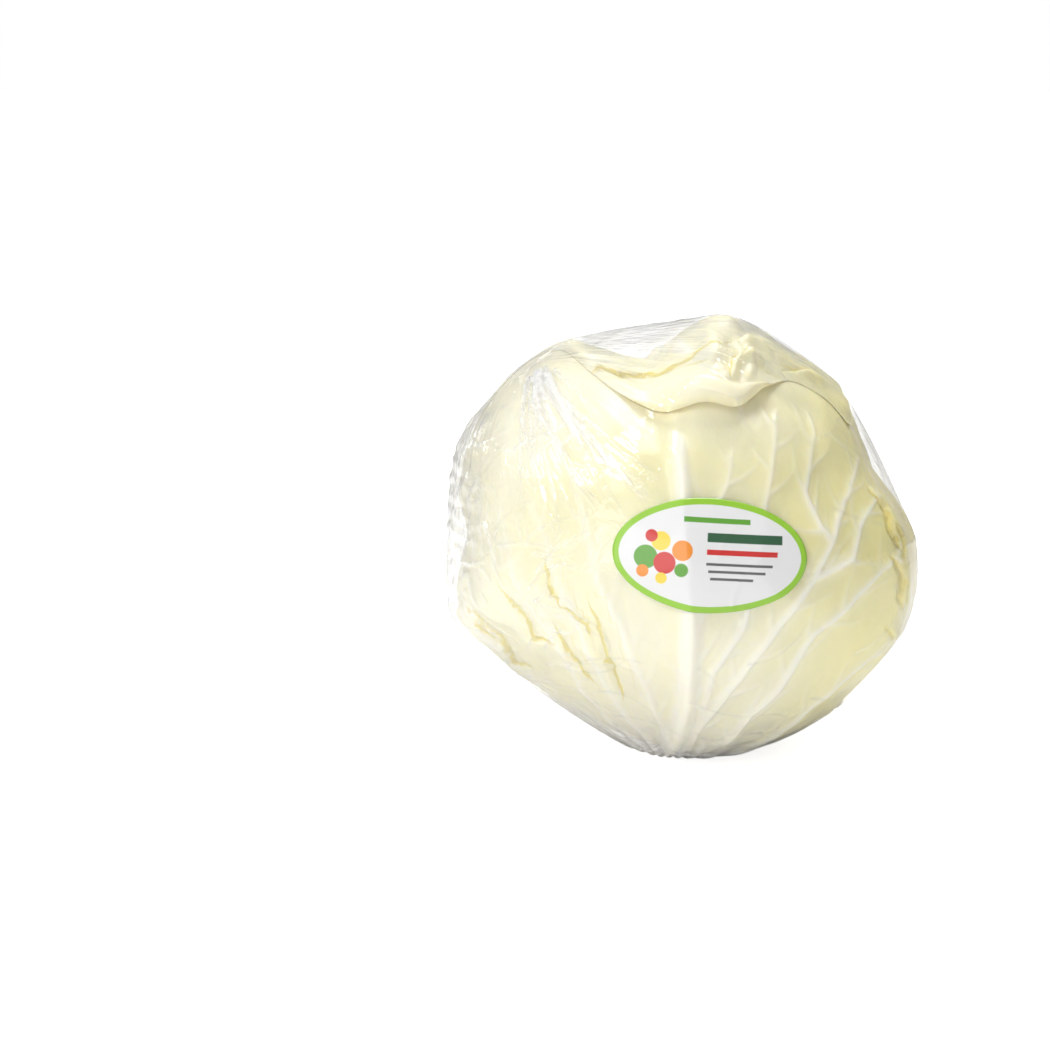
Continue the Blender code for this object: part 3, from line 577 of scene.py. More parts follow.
def overlaps(leaf, flat):
    """Pleats that lie over to one side: their height, a soft painted shade below their drop, and signed
    distance to the nearest.
    """
    height, tint, gap = np.zeros(len(flat)), np.zeros(len(flat)), np.full(len(flat), PLEAT_FAR)
    for pleated in leaf.pleats:
        points, lengths, starts = measured(pleated)
        nearest = np.full(len(flat), np.inf)
        side, share = np.zeros(len(flat)), np.zeros(len(flat))
        for start, end, length, gone in zip(points[:-1], points[1:], lengths, starts):
            step = (end - start) / length
            along = np.clip((flat - start) @ step, 0.0, length)
            away = flat - start - np.outer(along, step)
            distance = np.hypot(away[:, 0], away[:, 1])
            closer = distance < nearest
            nearest[closer] = distance[closer]
            left = step[0] * (flat - start)[:, 1] - step[1] * (flat - start)[:, 0]
            side[closer] = (np.sign(left) * distance)[closer]
            share[closer] = ((gone + along) / starts[-1])[closer]
        across = np.radians(side) * HALF_DEPTH
        taper = np.sqrt(np.clip(np.sin(math.pi * share), 0, 1))
        slope, drop = smooth_step(across, 0.0, pleated.width), smooth_step(-across, 0.0, PLEAT_DROP)
        rise = np.where(across > 0, 1 - slope, 1 - drop)
        groove = np.exp(-((across + GROOVE_AT) / GROOVE_WIDTH) ** 2)
        height += taper * pleated.height * (rise - GROOVE_DEPTH * groove)
        # Painted shade: a yellow tint beside the pleat's drop.
        tint = np.maximum(tint, FOLD_SHADE * taper * np.exp(-((across + SHADE_AT) / SHADE_WIDTH) ** 2))
        closer = np.abs(across) < np.abs(gap)
        gap[closer] = across[closer]
    return height, tint, gap


def fold_height(leaf, flat):
    return sum((ridge(fold, flat) for fold in leaf.folds), np.zeros(len(flat)))


def underlay(level, out):
    """What lies between the heart and the inner face of a leaf: the leaves under it and their gaps."""
    total = np.full(len(out), LEAF_GAP)
    for lower in LEAVES[:level]:
        flat = to_plane(middle_of(lower), out)
        covered = smooth_step(inside(lower.outline, flat), -STEP_FAR, -STEP_NEAR)
        total = total + covered * (BLADE + LEAF_GAP + COVERED_RIB * ridge(lower.midrib, flat, 2.0))
    return total


PRESSED_BEYOND = 8.0


def cover(level, out):
    """How far the leaves above press a leaf's ribs flat, from 0 to 1."""
    most = np.zeros(len(out))
    for upper in LEAVES[level + 1:]:
        covered = inside(upper.outline, to_plane(middle_of(upper), out))
        most = np.maximum(most, smooth_step(covered, -PRESSED_BEYOND, 0.0))
    return most


def round_net(count):
    """A square net pressed into a round one of radius 1: its points, its faces and its margin."""
    row = np.linspace(-1, 1, count + 1)
    u, v = (a.ravel() for a in np.meshgrid(row, row))
    disc = np.stack([u * np.sqrt(1 - v ** 2 / 2), v * np.sqrt(1 - u ** 2 / 2)], axis=1)
    side = np.arange(count)
    margin = np.concatenate([side, side * (count + 1) + count, (count + 1) ** 2 - 1 - side,
                             (count - side) * (count + 1)])
    return disc, net_faces(count), margin


def closed_sheet(inner, outer, faces, margin):
    """Points and faces of a thin closed body: two faces back to back and the rim between them."""
    count = len(outer)
    after = np.roll(margin, -1)
    rim = np.stack([margin, after, after + count, margin + count], axis=1)
    return np.concatenate([inner, outer]), np.concatenate([faces[:, ::-1], faces + count, rim])


LAID = []


def laid_radius(out, wanted):
    """Radius of the outermost leaf laid so far along the wanted directions, in millimetres."""
    radius = np.zeros(len(out))
    for i in np.flatnonzero(wanted):
        for tree in LAID:
            reach = tree.ray_cast(Vector(HEAD_CENTRE), Vector(out[i]))[3]
            if reach:
                radius[i] = max(radius[i], reach / MM)
    return radius


ROLL_WAVES = ((0.12, 9), (0.05, 23))
FRILL_HEIGHT = 1.6
FRILL_WIDTH = 16.0
RIB_FADE = 10.0
SWELL_FADE = 12.0
BLADE_THINNING = 14.0
LYING_WIDTH = 14.0
LAID_ABOVE = -0.6
RIB_SHOWS = 1.4
RIB_SIDES = 2.4
RIB_SIDE_SHADE = 0.15
FOOT = (-84, -40)
FOOT_WHITE = 0.8
CROWN_GREEN = 0.4
RIGHT_SHADE_GREEN = 0.95


def leaf_faces(level, flat):
    """Inner and outer points of a leaf at places on it, and the masks that colour it, painted shade among
    them.
    """
    leaf = LEAVES[level]
    middle = middle_of(leaf)
    angle = np.arctan2(flat[:, 1], flat[:, 0])
    towards = np.stack([np.cos(angle), np.sin(angle)], axis=1)
    margin = inside(leaf.outline, flat)
    (slow, slow_waves), (fast, fast_waves) = ROLL_WAVES
    uneven = 1 + slow * np.sin(slow_waves * angle + leaf.seed) + fast * np.sin(fast_waves * angle)
    roll = around(leaf.roll, angle) * uneven
    rolled = roll * np.radians(np.maximum(around(leaf.curl, angle), 0.0))
    bend = np.clip(rolled - margin, 0.0, None) / roll
    start = flat - towards * np.degrees(bend * roll / HALF_DEPTH)[:, None]
    out = from_plane(middle, start)
    hidden = cover(level, out)
    place = out * HALF_DEPTH
    folds = fold_height(leaf, start)
    # groove holds the painted shade beside each pleat's drop.
    pleated, groove, gap = overlaps(leaf, start)
    inner = head_radius(out) - STACK + underlay(level, out) + folds
    wave = 0.5 + 0.5 * np.sin(angle * 31 + 2.2 * np.sin(angle * 7 + leaf.seed))
    frill = leaf.frill * FRILL_HEIGHT * wave * (1 - smooth_step(margin, 1.0, FRILL_WIDTH)) * (1 - hidden)
    ribs = rib_height(leaf, start) * (1.0 - (1.0 - COVERED_RIB) * hidden) * smooth_step(margin, 0.0, RIB_FADE)
    swell = 0.45 * ripple(place, 26, leaf.seed) + 0.12 * ripple(place, 11, leaf.seed + 50)
    swell *= 1 - 0.8 * hidden
    blade = MARGIN_BLADE + (BLADE - MARGIN_BLADE) * smooth_step(margin, 0.0, BLADE_THINNING)
    outer = blade + ribs + (swell + pleated) * smooth_step(margin, 0.0, SWELL_FADE)
    outer = np.maximum(outer, 0.5 * blade)
    inner = inner + frill
    lying = 1 - smooth_step(margin - rolled, 0.0, LYING_WIDTH)
    below = laid_radius(out, lying > 0.01)
    lying *= (below > 0) * (out[:, 2] > LAID_ABOVE)
    inner += lying * (below + TOUCHING - inner)
    beyond = from_plane(middle, start + towards * 0.1)
    forward = beyond - out * np.sum(beyond * out, axis=1)[:, None]
    forward /= np.linalg.norm(forward, axis=1)[:, None]
    faces = []
    for thickness, floor in ((np.zeros(len(flat)), floor_of(level) + BLADE), (outer, floor_of(level))):
        arm = roll - thickness
        centre = out * (inner + roll)[:, None]
        points = centre + forward * (arm * np.sin(bend))[:, None] - out * (arm * np.cos(bend))[:, None]
        faces.append(lift_underside(HEAD_CENTRE + points * MM, floor))
    lying_flat = 1 - smooth_step(bend, 0.0, 0.6)
    rib_mask = np.clip(ribs / RIB_SHOWS, 0, 1)
    facing = smooth_step(-out[:, 1], 0.6, 0.85)
    upper = smooth_step(out[:, 2], -0.4, 0.6)
    wide = np.zeros(len(flat))
    for rib in (leaf.midrib, *leaf.ribs):
        wide = np.maximum(wide, np.clip(ridge(rib, start, RIB_SIDES) / RIB_SHOWS, 0, 1))
    # Painted shade: a yellow tint on the flanks beside the ribs.
    sides = np.clip(wide - rib_mask, 0, 1) * RIB_SIDE_SHADE
    # Painted shade: the head's right side, away from the key light, is tinted yellow-green.
    shaded_right = smooth_step(out[:, 0], 0.2, 0.85)
    masks = {
        "rib": np.maximum(rib_mask, FOOT_WHITE * (1 - smooth_step(start[:, 1], *FOOT))),
        # Painted shade in the folds and beside the ribs, where the leaf lies flat.
        "crease": lying_flat * np.clip(sides + groove, 0, 1),
        # Greener at the crown, and painted shade in yellow-green on the right side.
        "tip": lying_flat * np.clip(CROWN_GREEN * upper * facing + RIGHT_SHADE_GREEN * shaded_right, 0, 1),
        "margin": 1 - smooth_step(margin, 0.0, 7.0),
        "gap": gap,
        "depth": outer * lying_flat,
    }
    return faces[0], faces[1], masks


def make_leaf(level, material):
    """One leaf as a piece. It is kept for the next ones to lie on, and its outer points are returned."""
    leaf = LEAVES[level]
    disc, faces, margin = round_net(leaf.net)
    flat = disc * around(leaf.outline, np.arctan2(disc[:, 1], disc[:, 0]))[:, None]
    inner, outer, masks = leaf_faces(level, flat)
    points, sides = closed_sheet(inner, outer, faces, margin)
    piece = new_piece(leaf.name, points, sides, material, np.tile(flat, (2, 1)),
                      {name: np.tile(values, 2) for name, values in masks.items()})
    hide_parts("wrapper_" + leaf.name)
    LAID.append(BVHTree.FromPolygons([tuple(p) for p in outer], [tuple(f) for f in faces.tolist()]))
    return outer


CREAM = (0.96, 0.90, 0.69)
PALE_GREEN = (0.92, 0.825, 0.38)
RIB_WHITE = (0.97, 0.93, 0.82)
# Yellow used as painted shade in the folds and beside the ribs, and faintly as the margin's own tint.
SHADE_AND_MARGIN_YELLOW = (0.90, 0.76, 0.30)
wrapper = leaf_tissue("wrapper_tissue", CREAM, PALE_GREEN, RIB_WHITE, SHADE_AND_MARGIN_YELLOW)
held = [make_leaf(level, wrapper) for level in range(len(LEAVES))]

# The film is one clear sheet of food wrap pulled tight over the whole head and gathered under the
# stem. It touches the ribs and the high folds and spans what lies between, with fans of pleats.
FILM_NET = 126
FILM_CROWD = (0.0, -0.42, 0.06)
GATHER = (-0.629, -0.089, 0.772)
GATHER_RADIUS = 96.0
FILM_PLANES = 2600
FILM_CLEAR = 0.35
FILM_PLANE_FACING = 0.3
FIN_AT = (-82.0, 8.0)
FIN_HEIGHT = 4.5
FIN_HALF_WIDTHS = ((3.0, 17.0), (16.0, 36.0))
SLACK_REACH = (22, 40)
CRUMPLE = 0.5
CREASE_HAZE_AND_HIGHLIGHT_HEIGHT = 2.2
MILKY_GATHER = 0.35
MILKY_KNOT = 0.45
KNOT_SIZE = 9
OPENING_RADIUS = 14.0
RING_RADIUS = 24.0
LAP_TOP = 0.62
LAP_COLUMNS = 9
LAP_STEP = 1.4
LAP_LIFT = 0.25
PULL_TOWARDS = (0.42, -0.62, -0.66)
PULL_FADE = (0.045, 0.115)
CRINKLE = 0.8
MIRROR_FACE = (0.06, 0.36)
MIRROR_EDGE = (0.22, 0.85)
HAZE_AND_HIGHLIGHT_WHITE = 0.62
CLEAR_HAZE = 0.015


def taut_radius(out, touched):
    """Radius of a skin stretched over points: the inside of all planes that just touch them."""
    turns = np.arange(FILM_PLANES) * math.pi * (3 - math.sqrt(5))
    height = 1 - 2 * (np.arange(FILM_PLANES) + 0.5) / FILM_PLANES
    wide = np.sqrt(1 - height ** 2)
    normals = np.stack([wide * np.cos(turns), wide * np.sin(turns), height], axis=1)
    reach = np.full(FILM_PLANES, -np.inf)
    for part in np.array_split(touched, max(1, len(touched) // 4000)):
        reach = np.maximum(reach, (part @ normals.T).max(axis=0))
    parts = []
    for part in np.array_split(out, max(1, len(out) // 6000)):
        facing = part @ normals.T
        plane = reach / np.maximum(facing, FILM_PLANE_FACING)
        parts.append(np.where(facing > FILM_PLANE_FACING, plane, np.inf).min(axis=1))
    return np.concatenate(parts)


def pleat(start, end, width, height, bow):
    """One crease of the film as a rib on the front of the head, bowed to one side."""
    (x0, y0), (x1, y1) = start, end
    points = []
    for t in np.linspace(0, 1, 9):
        side = bow * 4 * t * (1 - t)
        points.append((x0 + (x1 - x0) * t - (y1 - y0) * side, y0 + (y1 - y0) * t + (x1 - x0) * side))
    return Rib(points, width, height)


def pleats():
    """The film's creases, in degrees right of and above the middle of the front: a fan, then scatters."""
    draw = np.random.default_rng(5)
    made = []

    def crease(start, end, *limits):
        """One crease whose width, height and bow are drawn between limits."""
        made.append(pleat(start, end, *(draw.uniform(*pair) for pair in limits)))

    for i in range(17):
        share = i / 16
        top = (-49 + 9 * share + draw.uniform(-1, 1), 60 - 4 * share + draw.uniform(-2, 2))
        low = (-40 + 36 * share + draw.uniform(-2, 2), 12 + 10 * share + draw.uniform(-5, 5))
        crease(top, low, (1.1, 2.0), (0.9, 2.2), (-0.05, 0.03))
    for _ in range(44):
        place = (draw.uniform(-76, -26), draw.uniform(-22, 36))
        length = draw.uniform(6, 20)
        lean = math.radians(draw.choice((-50, -20, 25, 60)) + draw.uniform(-20, 20))
        end = (place[0] + length * math.cos(lean), place[1] + length * math.sin(lean))
        crease(place, end, (1.1, 1.9), (0.5, 1.3), (-0.3, 0.3))
    for _ in range(16):
        place = (draw.uniform(-70, -10), draw.uniform(-60, -20))
        end = (place[0] + draw.uniform(8, 26), place[1] - draw.uniform(-6, 12))
        crease(place, end, (1.0, 1.7), (0.3, 0.8), (-0.2, 0.2))
    for _ in range(20):
        place = (draw.uniform(-5, 80), draw.uniform(-50, 62))
        lean = math.radians(draw.uniform(-60, 60))
        length = draw.uniform(8, 24)
        end = (place[0] + length * math.cos(lean), place[1] + length * math.sin(lean))
        crease(place, end, (1.0, 1.6), (0.2, 0.6), (-0.2, 0.2))
    return made


# Bands at the upper left where white highlight streaks are painted on the film, in the same degrees.
HIGHLIGHT_BANDS = (
    Rib([(-46, 60), (-36, 49), (-21, 33), (-8, 22)], 6.5, 2.2),
    Rib([(-48, 60), (-40, 44), (-28, 28), (-20, 19)], 4.5, 1.5),
    Rib([(-51, 58), (-45, 40), (-37, 26)], 3.5, 1.2),
    Rib([(-40, 60), (-26, 47), (-13, 34)], 3.0, 1.0),
)


def gathers(out):
    """Radial folds that run together under the head, and a few long ones up its back."""
    turn = np.arctan2(out[:, 0], -out[:, 1])
    low = smooth_step(-out[:, 2], 0.62, 0.93)
    folds = np.abs(np.sin(turn * 17 + 1.4 * np.sin(turn * 5))) ** 3
    back = smooth_step(out[:, 1], -0.1, 0.5) * (1 - low)
    long = np.abs(np.sin(turn * 6 + 5 * out[:, 2] + 1.2 * np.sin(3 * turn))) ** 14
    return 1.1 * low * folds + 0.7 * back * long


def pull_height(tree, place):
    """Fine lines that run out from the point where the film was pulled together, and a small crinkle."""
    centre = np.array(GATHER)
    downward = np.array(PULL_TOWARDS) - centre * (np.array(PULL_TOWARDS) @ centre)
    downward /= np.linalg.norm(downward)
    gather = HEAD_CENTRE + centre * GATHER_RADIUS * MM
    away = add_node(tree, "VectorMath", {0: place, 1: gather}, operation="SUBTRACT").outputs[0]
    along, across = (add_node(tree, "VectorMath", {0: away, 1: axis}, operation="DOT_PRODUCT")
                     for axis in (downward, np.cross(centre, downward)))
    angle = calculate(tree, "ARCTAN2", across.outputs["Value"], along.outputs["Value"])
    lines = add_node(tree, "TexNoise", {"W": angle, "Scale": 16.0, "Detail": 4.0}, noise_dimensions="1D")
    distance = add_node(tree, "VectorMath", {0: away}, operation="LENGTH").outputs["Value"]
    fade = remap(tree, distance, *PULL_FADE, 1.0, 0.0)
    crinkle = add_node(tree, "TexNoise", {"Vector": place, "Scale": 70.0, "Detail": 4.0, "Distortion": 1.5})
    small = calculate(tree, "MULTIPLY", crinkle.outputs["Fac"], CRINKLE)
    return calculate(tree, "MULTIPLY_ADD", lines.outputs["Fac"], fade, small)


def film_skin():
    """Clear food wrap that mirrors light weakly face on and strongly at its edges, with milky creases and
    painted highlights.
    """
    material, tree, shader = new_material("food_wrap")
    pulled = add_node(tree, "Group", node_tree=effect("pull_lines", Height=pull_height)).outputs["Height"]
    normal = bumped(tree, pulled, 0.7, 0.0016)
    edge = add_node(tree, "LayerWeight", {"Blend": 0.5, "Normal": normal}).outputs["Facing"]
    steep = calculate(tree, "POWER", edge, 3.0)
    most = remap(tree, attribute(tree, "off"), 0.0, 1.0, *MIRROR_EDGE)
    least = remap(tree, attribute(tree, "slack"), 0.0, 1.0, *MIRROR_FACE)
    mirror = calculate(tree, "MULTIPLY_ADD", steep, most, least)
    # Painted highlight: white haze, strongest along the creases and bands, from the crease mask.
    white_haze_and_highlight = calculate(tree, "MULTIPLY_ADD", attribute(tree, "crease"), HAZE_AND_HIGHLIGHT_WHITE, CLEAR_HAZE)
    seen = calculate(tree, "ADD", mirror, white_haze_and_highlight, clamp=True)
    feed_all(tree, shader, {"Base Color": (0.95, 0.95, 0.95), "Roughness": 0.07, "Normal": normal,
                            "Metallic": calculate(tree, "DIVIDE", mirror, seen, clamp=True)})
    clear = add_node(tree, "BsdfTransparent").outputs[0]
    mixed = add_node(tree, "MixShader", {"Fac": seen, 1: clear, 2: shader.outputs[0]})
    feed(tree, tree.nodes["Material Output"].inputs["Surface"], mixed.outputs[0])
    return material


def film_radius(directions):
    """The film's distance from the head's middle in millimetres, how milky it is with painted highlights, and
    how slack.
    """
    radius = taut_radius(directions, held_points) + FILM_CLEAR
    fold = np.abs(to_plane(FIN_AT, directions))
    across, along = (1 - smooth_step(fold[:, i], *limits) for i, limits in enumerate(FIN_HALF_WIDTHS))
    radius += FIN_HEIGHT * across * along
    front = to_plane((0.0, 0.0), directions)
    creases = np.zeros(len(directions))
    for crease in pleats():
        creases = np.maximum(creases, ridge(crease, front))
    creases *= directions[:, 1] < 0.25
    gathered = gathers(directions)
    place = directions * HALF_DEPTH
    loose = np.exp(-((fold[:, 0] / SLACK_REACH[0]) ** 2 + (fold[:, 1] / SLACK_REACH[1]) ** 2))
    crumple = CRUMPLE * loose * (ripple(place, 9, 31) + 0.5 * ripple(place, 5, 32))
    knot = np.degrees(np.arccos(np.clip(directions @ np.array(GATHER), -1, 1)))
    highlight_bands = np.zeros(len(directions))
    for band in HIGHLIGHT_BANDS:
        highlight_bands = np.maximum(highlight_bands, np.clip(ridge(band, front), 0, 1))
    highlight_streaks = 0.65 + 0.35 * np.sin(front[:, 0] * 2.6 + front[:, 1] * 2.0 + 1.5 * np.sin(front[:, 1] * 0.3))
    # Milky haze in the creases, gathers and crumples, with painted highlights in the creases and the bands.
    haze_and_highlight = creases / CREASE_HAZE_AND_HIGHLIGHT_HEIGHT + MILKY_GATHER * gathered + MILKY_KNOT * np.exp(-(knot / KNOT_SIZE) ** 2)
    haze_and_highlight += 0.2 * np.clip(crumple, 0, 1)
    haze_and_highlight += highlight_bands * highlight_streaks
    return radius + creases + gathered + crumple, np.clip(haze_and_highlight, 0, 1), loose


def film_lap(points, faces, directions):
    """Slits the film up its back and adds the strip by which one side laps over the other."""
    middle = abs(directions[:, 0]) < 1e-6
    line = np.nonzero(middle & (directions[:, 1] > 0) & (directions[:, 2] < LAP_TOP))[0]
    line = line[np.argsort(np.arctan2(directions[line, 2], directions[line, 1]))]
    tangent = directions[line]
    count = len(points)
    doubled = np.arange(count)
    doubled[line[:-1]] = count + np.arange(len(line) - 1)
    right = directions[faces].mean(axis=1)[:, 0] > 0
    faces = faces.copy()
    faces[right] = doubled[faces[right]]
    across = np.arange(1, LAP_COLUMNS + 1) * LAP_STEP / HALF_DEPTH
    strip = [np.cos(a) * tangent - np.sin(a) * np.array([1.0, 0.0, 0.0]) for a in across]
    strip = np.stack(strip, axis=1)
    radius, crease, _ = film_radius(strip.reshape(-1, 3))
    rows = np.arange(len(line))[:, None]
    wave = 0.35 * (1 + np.sin(rows * 0.55 + 2 * np.sin(rows * 0.13))) * (across / across[-1]) ** 2
    radius = radius.reshape(len(line), -1) + LAP_LIFT + wave
    flap = HEAD_CENTRE + strip * radius[:, :, None] * MM
    start = count + len(line) - 1
    added = start + np.arange(flap.shape[0] * flap.shape[1]).reshape(len(line), -1)
    columns = np.concatenate([doubled[line][:, None], added], axis=1)
    low, high = columns[:-1], columns[1:]
    strips = np.stack([low[:, :-1], high[:, :-1], high[:, 1:], low[:, 1:]], axis=-1).reshape(-1, 4)
    lifted = points[line[:-1]] + directions[line[:-1]] * LAP_LIFT * MM
    return np.concatenate([points, lifted, flap.reshape(-1, 3)]), np.concatenate([faces, strips]), crease


FOOT_POINTS = 48
FILM_LOWEST = 0.0002
# Film nearer to the leaves than the start counts as touching. Under the head it counts as loose.
OFF_ABOVE = -0.8
OFF_START = 0.6
OFF_RANGE = 2.0


out, faces = cube_directions(FILM_NET)
out += np.array(FILM_CROWD)
out /= np.linalg.norm(out, axis=1)[:, None]
turns = np.arange(FOOT_POINTS) * 2 * math.pi / FOOT_POINTS
foot = np.stack([RING_RADIUS * np.cos(turns), RING_RADIUS * np.sin(turns), np.zeros(FOOT_POINTS)], axis=1)
held_points = np.concatenate([(outer[::7] - HEAD_CENTRE) / MM for outer in held] + [foot - HEAD_CENTRE / MM])
radius, creased, slack = film_radius(out)
clearance = radius - laid_radius(out, out[:, 2] > OFF_ABOVE)
off = np.clip((clearance - OFF_START) / OFF_RANGE, 0, 1)
points = HEAD_CENTRE + out * radius[:, None] * MM
under = np.hypot(points[:, 0], points[:, 1]) < OPENING_RADIUS * MM
opened = (under & (out[:, 2] < 0))[faces].all(axis=1)
points, faces, lap_crease = film_lap(points, faces[~opened], out)
off = np.concatenate([off, np.ones(len(points) - len(off))])
slack = np.concatenate([slack, np.zeros(len(points) - len(slack))])
creased = np.concatenate([creased, np.zeros(len(points) - len(creased) - len(lap_crease)), lap_crease])
points[:, 2] = np.maximum(points[:, 2], FILM_LOWEST)
used = np.unique(faces)
renumber = np.full(len(points), -1)
renumber[used] = np.arange(len(used))
# The film's crease mask holds its milky haze and painted highlights.
film = new_piece("film", points[used], renumber[faces], film_skin(), None,
                 {"crease": creased[used], "off": off[used], "slack": slack[used]})
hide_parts("film_wrap")

# The sticker is thin coated paper, oval, stuck on the film at the front. Its print is a green rim on
# a white field with plain dots and bars, and a clear gloss over all of it.
LABEL_SIZE = (82.5, 47.5)
LABEL_TILT = -4.0
LABEL_AT = (8.5, 7.5)
LABEL_PAPER = 0.18
LABEL_GAP = 0.25
LABEL_NET = 70
LABEL_RIM = 2.7
RIM_GREEN = (0.30, 0.58, 0.04)
FIELD_WHITE = (0.80, 0.80, 0.80)


def printed_paper():
    """Coated paper, with its print worked out from the place on the oval in millimetres."""
    material, tree, shader = new_material("printed_paper")
    place = add_node(tree, "SeparateXYZ", {0: add_node(tree, "UVMap", uv_map="leaf").outputs[0]})

    def below(value, edge, soft):
        """1 where value is less than edge, with a soft step."""
        return remap(tree, value, edge - soft, edge + soft, 1.0, 0.0, "SMOOTHSTEP")

    def length(first, second):
        squares = [calculate(tree, "MULTIPLY", side, side) for side in (first, second)]
        return calculate(tree, "SQRT", calculate(tree, "ADD", *squares))

    def from_point(x, y):
        return [calculate(tree, "SUBTRACT", place.outputs[i], start) for i, start in enumerate((x, y))]

    half_sizes = [side / 2 - LABEL_RIM for side in LABEL_SIZE]
    shares = [calculate(tree, "DIVIDE", place.outputs[i], half) for i, half in enumerate(half_sizes)]
    colour = mix_colours(tree, RIM_GREEN, FIELD_WHITE, below(length(*shares), 1.0, 0.008))
    for x, y, size, tint in PRINT_DISCS:
        colour = mix_colours(tree, colour, tint, below(length(*from_point(x, y)), size, 0.25))
    for x, y, half_width, half_height, tint in PRINT_BARS:
        dx, dy = (calculate(tree, "ABSOLUTE", side) for side in from_point(x, y))
        mask = calculate(tree, "MULTIPLY", below(dx, half_width, 0.2), below(dy, half_height, 0.15))
        colour = mix_colours(tree, colour, tint, mask)
    grain = add_node(tree, "TexNoise", {"Scale": 900.0}).outputs["Fac"]
    feed_all(tree, shader, {"Base Color": colour, "Roughness": 0.35, "Coat Weight": 0.5,
                            "Coat Roughness": 0.1, "Normal": bumped(tree, grain, 0.08, 0.0003)})
    return material


RED = (0.62, 0.035, 0.03)
ORANGE = (0.85, 0.28, 0.03)
YELLOW = (0.88, 0.66, 0.08)
LEAF_GREEN = (0.12, 0.36, 0.04)
DEEP_GREEN = (0.03, 0.11, 0.05)
GREY = (0.12, 0.12, 0.12)
# Middle, radius or half sizes, and colour, in millimetres on the oval.
PRINT_DISCS = ((-27, -2, 5.0, LEAF_GREEN), (-21, 5, 4.0, YELLOW), (-19, -4, 4.6, RED),
               (-12, 1.5, 4.2, ORANGE), (-25, 7, 2.6, RED), (-12, -6.5, 2.8, LEAF_GREEN),
               (-28, -8, 2.6, ORANGE), (-20, -10.5, 2.4, YELLOW))
PRINT_BARS = ((14, 7.5, 16, 1.9, DEEP_GREEN), (13, 1.5, 15, 1.1, RED), (12, -3.4, 14, 0.55, GREY),
              (11, -6.4, 12, 0.55, GREY), (9, -9.4, 9, 0.55, GREY), (2, 14.5, 14, 1.1, LEAF_GREEN))
disc, faces, margin = round_net(LABEL_NET)
oval = disc * np.array(LABEL_SIZE) / 2
right, up, facing = axes(*LABEL_AT)
tilt = math.radians(LABEL_TILT)
right, up = right * math.cos(tilt) + up * math.sin(tilt), up * math.cos(tilt) - right * math.sin(tilt)
distance = np.maximum(np.hypot(oval[:, 0], oval[:, 1]), 1e-9)
sideways = (np.outer(oval[:, 0], right) + np.outer(oval[:, 1], up)) / distance[:, None]
turn = (distance / HALF_DEPTH)[:, None]
directions = np.cos(turn) * facing + np.sin(turn) * sideways
under_label = film_radius(directions)[0] + LABEL_GAP
levels = [HEAD_CENTRE + directions * (under_label + lift)[:, None] * MM for lift in (0.0, LABEL_PAPER)]
sticker = new_piece("sticker", *closed_sheet(*levels, faces, margin), printed_paper(), np.tile(oval, (2, 1)))
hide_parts("label")

# The studio: a white paper floor under white air that is brighter at the left, four square lamps of
# which the key is at the front left and above, and a camera with a long lens a little above the head.
CAMERA_RISE = 12.0
CAMERA_AWAY = 1.107
HEAD_RIGHT = 0.0675
HEAD_BELOW = 0.0045
FLOOR_GLOW = 0.8
AIR_SEEN = 1.0
AIR_LEFT = 0.66
AIR_RIGHT = 0.24
LENS = 85.0
SENSOR = 36.0
# Name, place and side in metres, and power in watts.
LIGHTS = (
    ("key", (-1.05, -1.15, 1.35), 0.4, 9.8),
    ("side", (-1.5, -0.35, 1.0), 0.4, 2.6),
    ("top", (0.25, 0.2, 1.6), 0.7, 16.0),
    ("fill", (-0.55, -1.6, 0.05), 1.1, 9.0),
)
bpy.context.scene.view_settings.view_transform = "Standard"
bpy.context.scene.cycles.transparent_max_bounces = 16


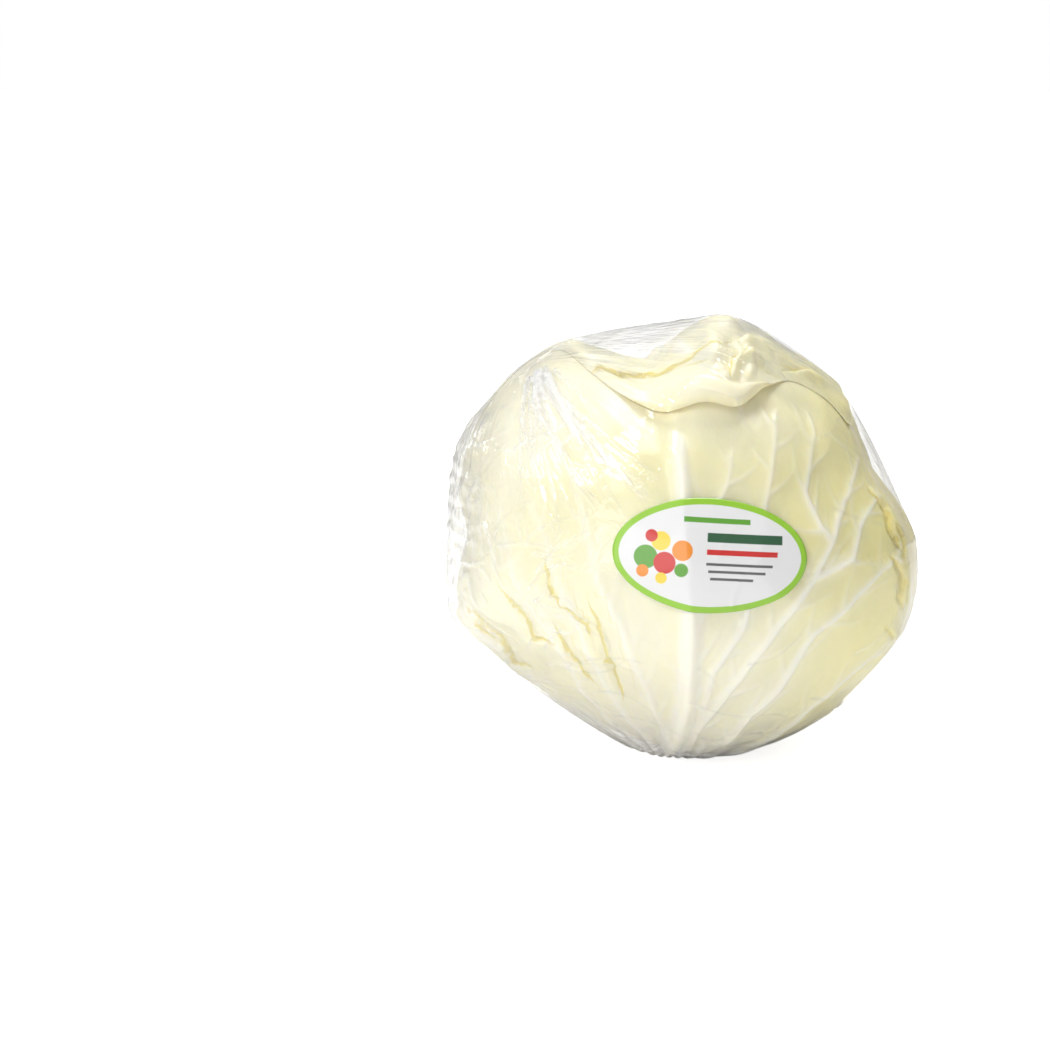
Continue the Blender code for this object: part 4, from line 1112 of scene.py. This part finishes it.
def studio_light(name, place, size, power):
    """A soft square light turned to the head."""
    lamp = bpy.data.lights.new(name, "AREA")
    lamp.size = size
    lamp.energy = power
    light = bpy.data.objects.new(name, lamp)
    bpy.context.scene.collection.objects.link(light)
    light.location = place
    light.rotation_euler = (Vector(HEAD_CENTRE) - Vector(place)).to_track_quat("-Z", "Y").to_euler()


def studio_paper():
    """White paper that reads as pure white, with only a pale shadow where the head stands."""
    material, tree, shader = new_material("studio_paper")
    camera_ray = add_node(tree, "LightPath").outputs["Is Camera Ray"]
    glow = calculate(tree, "MULTIPLY", camera_ray, FLOOR_GLOW)
    feed_all(tree, shader, {"Base Color": (0.93, 0.93, 0.93), "Roughness": 0.9, "Specular IOR Level": 0.0,
                            "Emission Color": (1, 1, 1), "Emission Strength": glow})
    return material


floor_mesh = bpy.data.meshes.new("studio_floor")
floor_mesh.from_pydata([(-6, -3, 0), (6, -3, 0), (6, 9, 0), (-6, 9, 0)], [], [(0, 1, 2, 3)])
floor_mesh.materials.append(studio_paper())
floor = bpy.data.objects.new("studio_floor", floor_mesh)
bpy.context.scene.collection.objects.link(floor)
for described in LIGHTS:
    studio_light(*described)
world = bpy.data.worlds.new("studio_air")
world.use_nodes = True
tree = world.node_tree
leftward = add_node(tree, "SeparateXYZ", {0: add_node(tree, "TexCoord").outputs["Generated"]}).outputs["X"]
lit = remap(tree, leftward, -1.0, 1.0, AIR_LEFT, AIR_RIGHT)
camera_ray = add_node(tree, "LightPath").outputs["Is Camera Ray"]
strength = remap(tree, camera_ray, 0.0, 1.0, lit, AIR_SEEN)
feed_all(tree, tree.nodes["Background"], {"Strength": strength, "Color": (1, 1, 1)})
bpy.context.scene.world = world
rise = math.radians(CAMERA_RISE)
back = np.array([0.0, -math.cos(rise), math.sin(rise)])
upward = np.array([0.0, math.sin(rise), math.cos(rise)])
lens = bpy.data.cameras.new("camera")
lens.lens = LENS
lens.sensor_width = SENSOR
lens.dof.use_dof = False
camera = bpy.data.objects.new("camera", lens)
bpy.context.scene.collection.objects.link(camera)
eye = HEAD_CENTRE + CAMERA_AWAY * back
aim = HEAD_CENTRE + np.array([-HEAD_RIGHT, 0.0, 0.0]) + HEAD_BELOW * upward
camera.location = eye
camera.rotation_euler = Vector(aim - eye).to_track_quat("-Z", "Y").to_euler()
bpy.context.scene.camera = camera
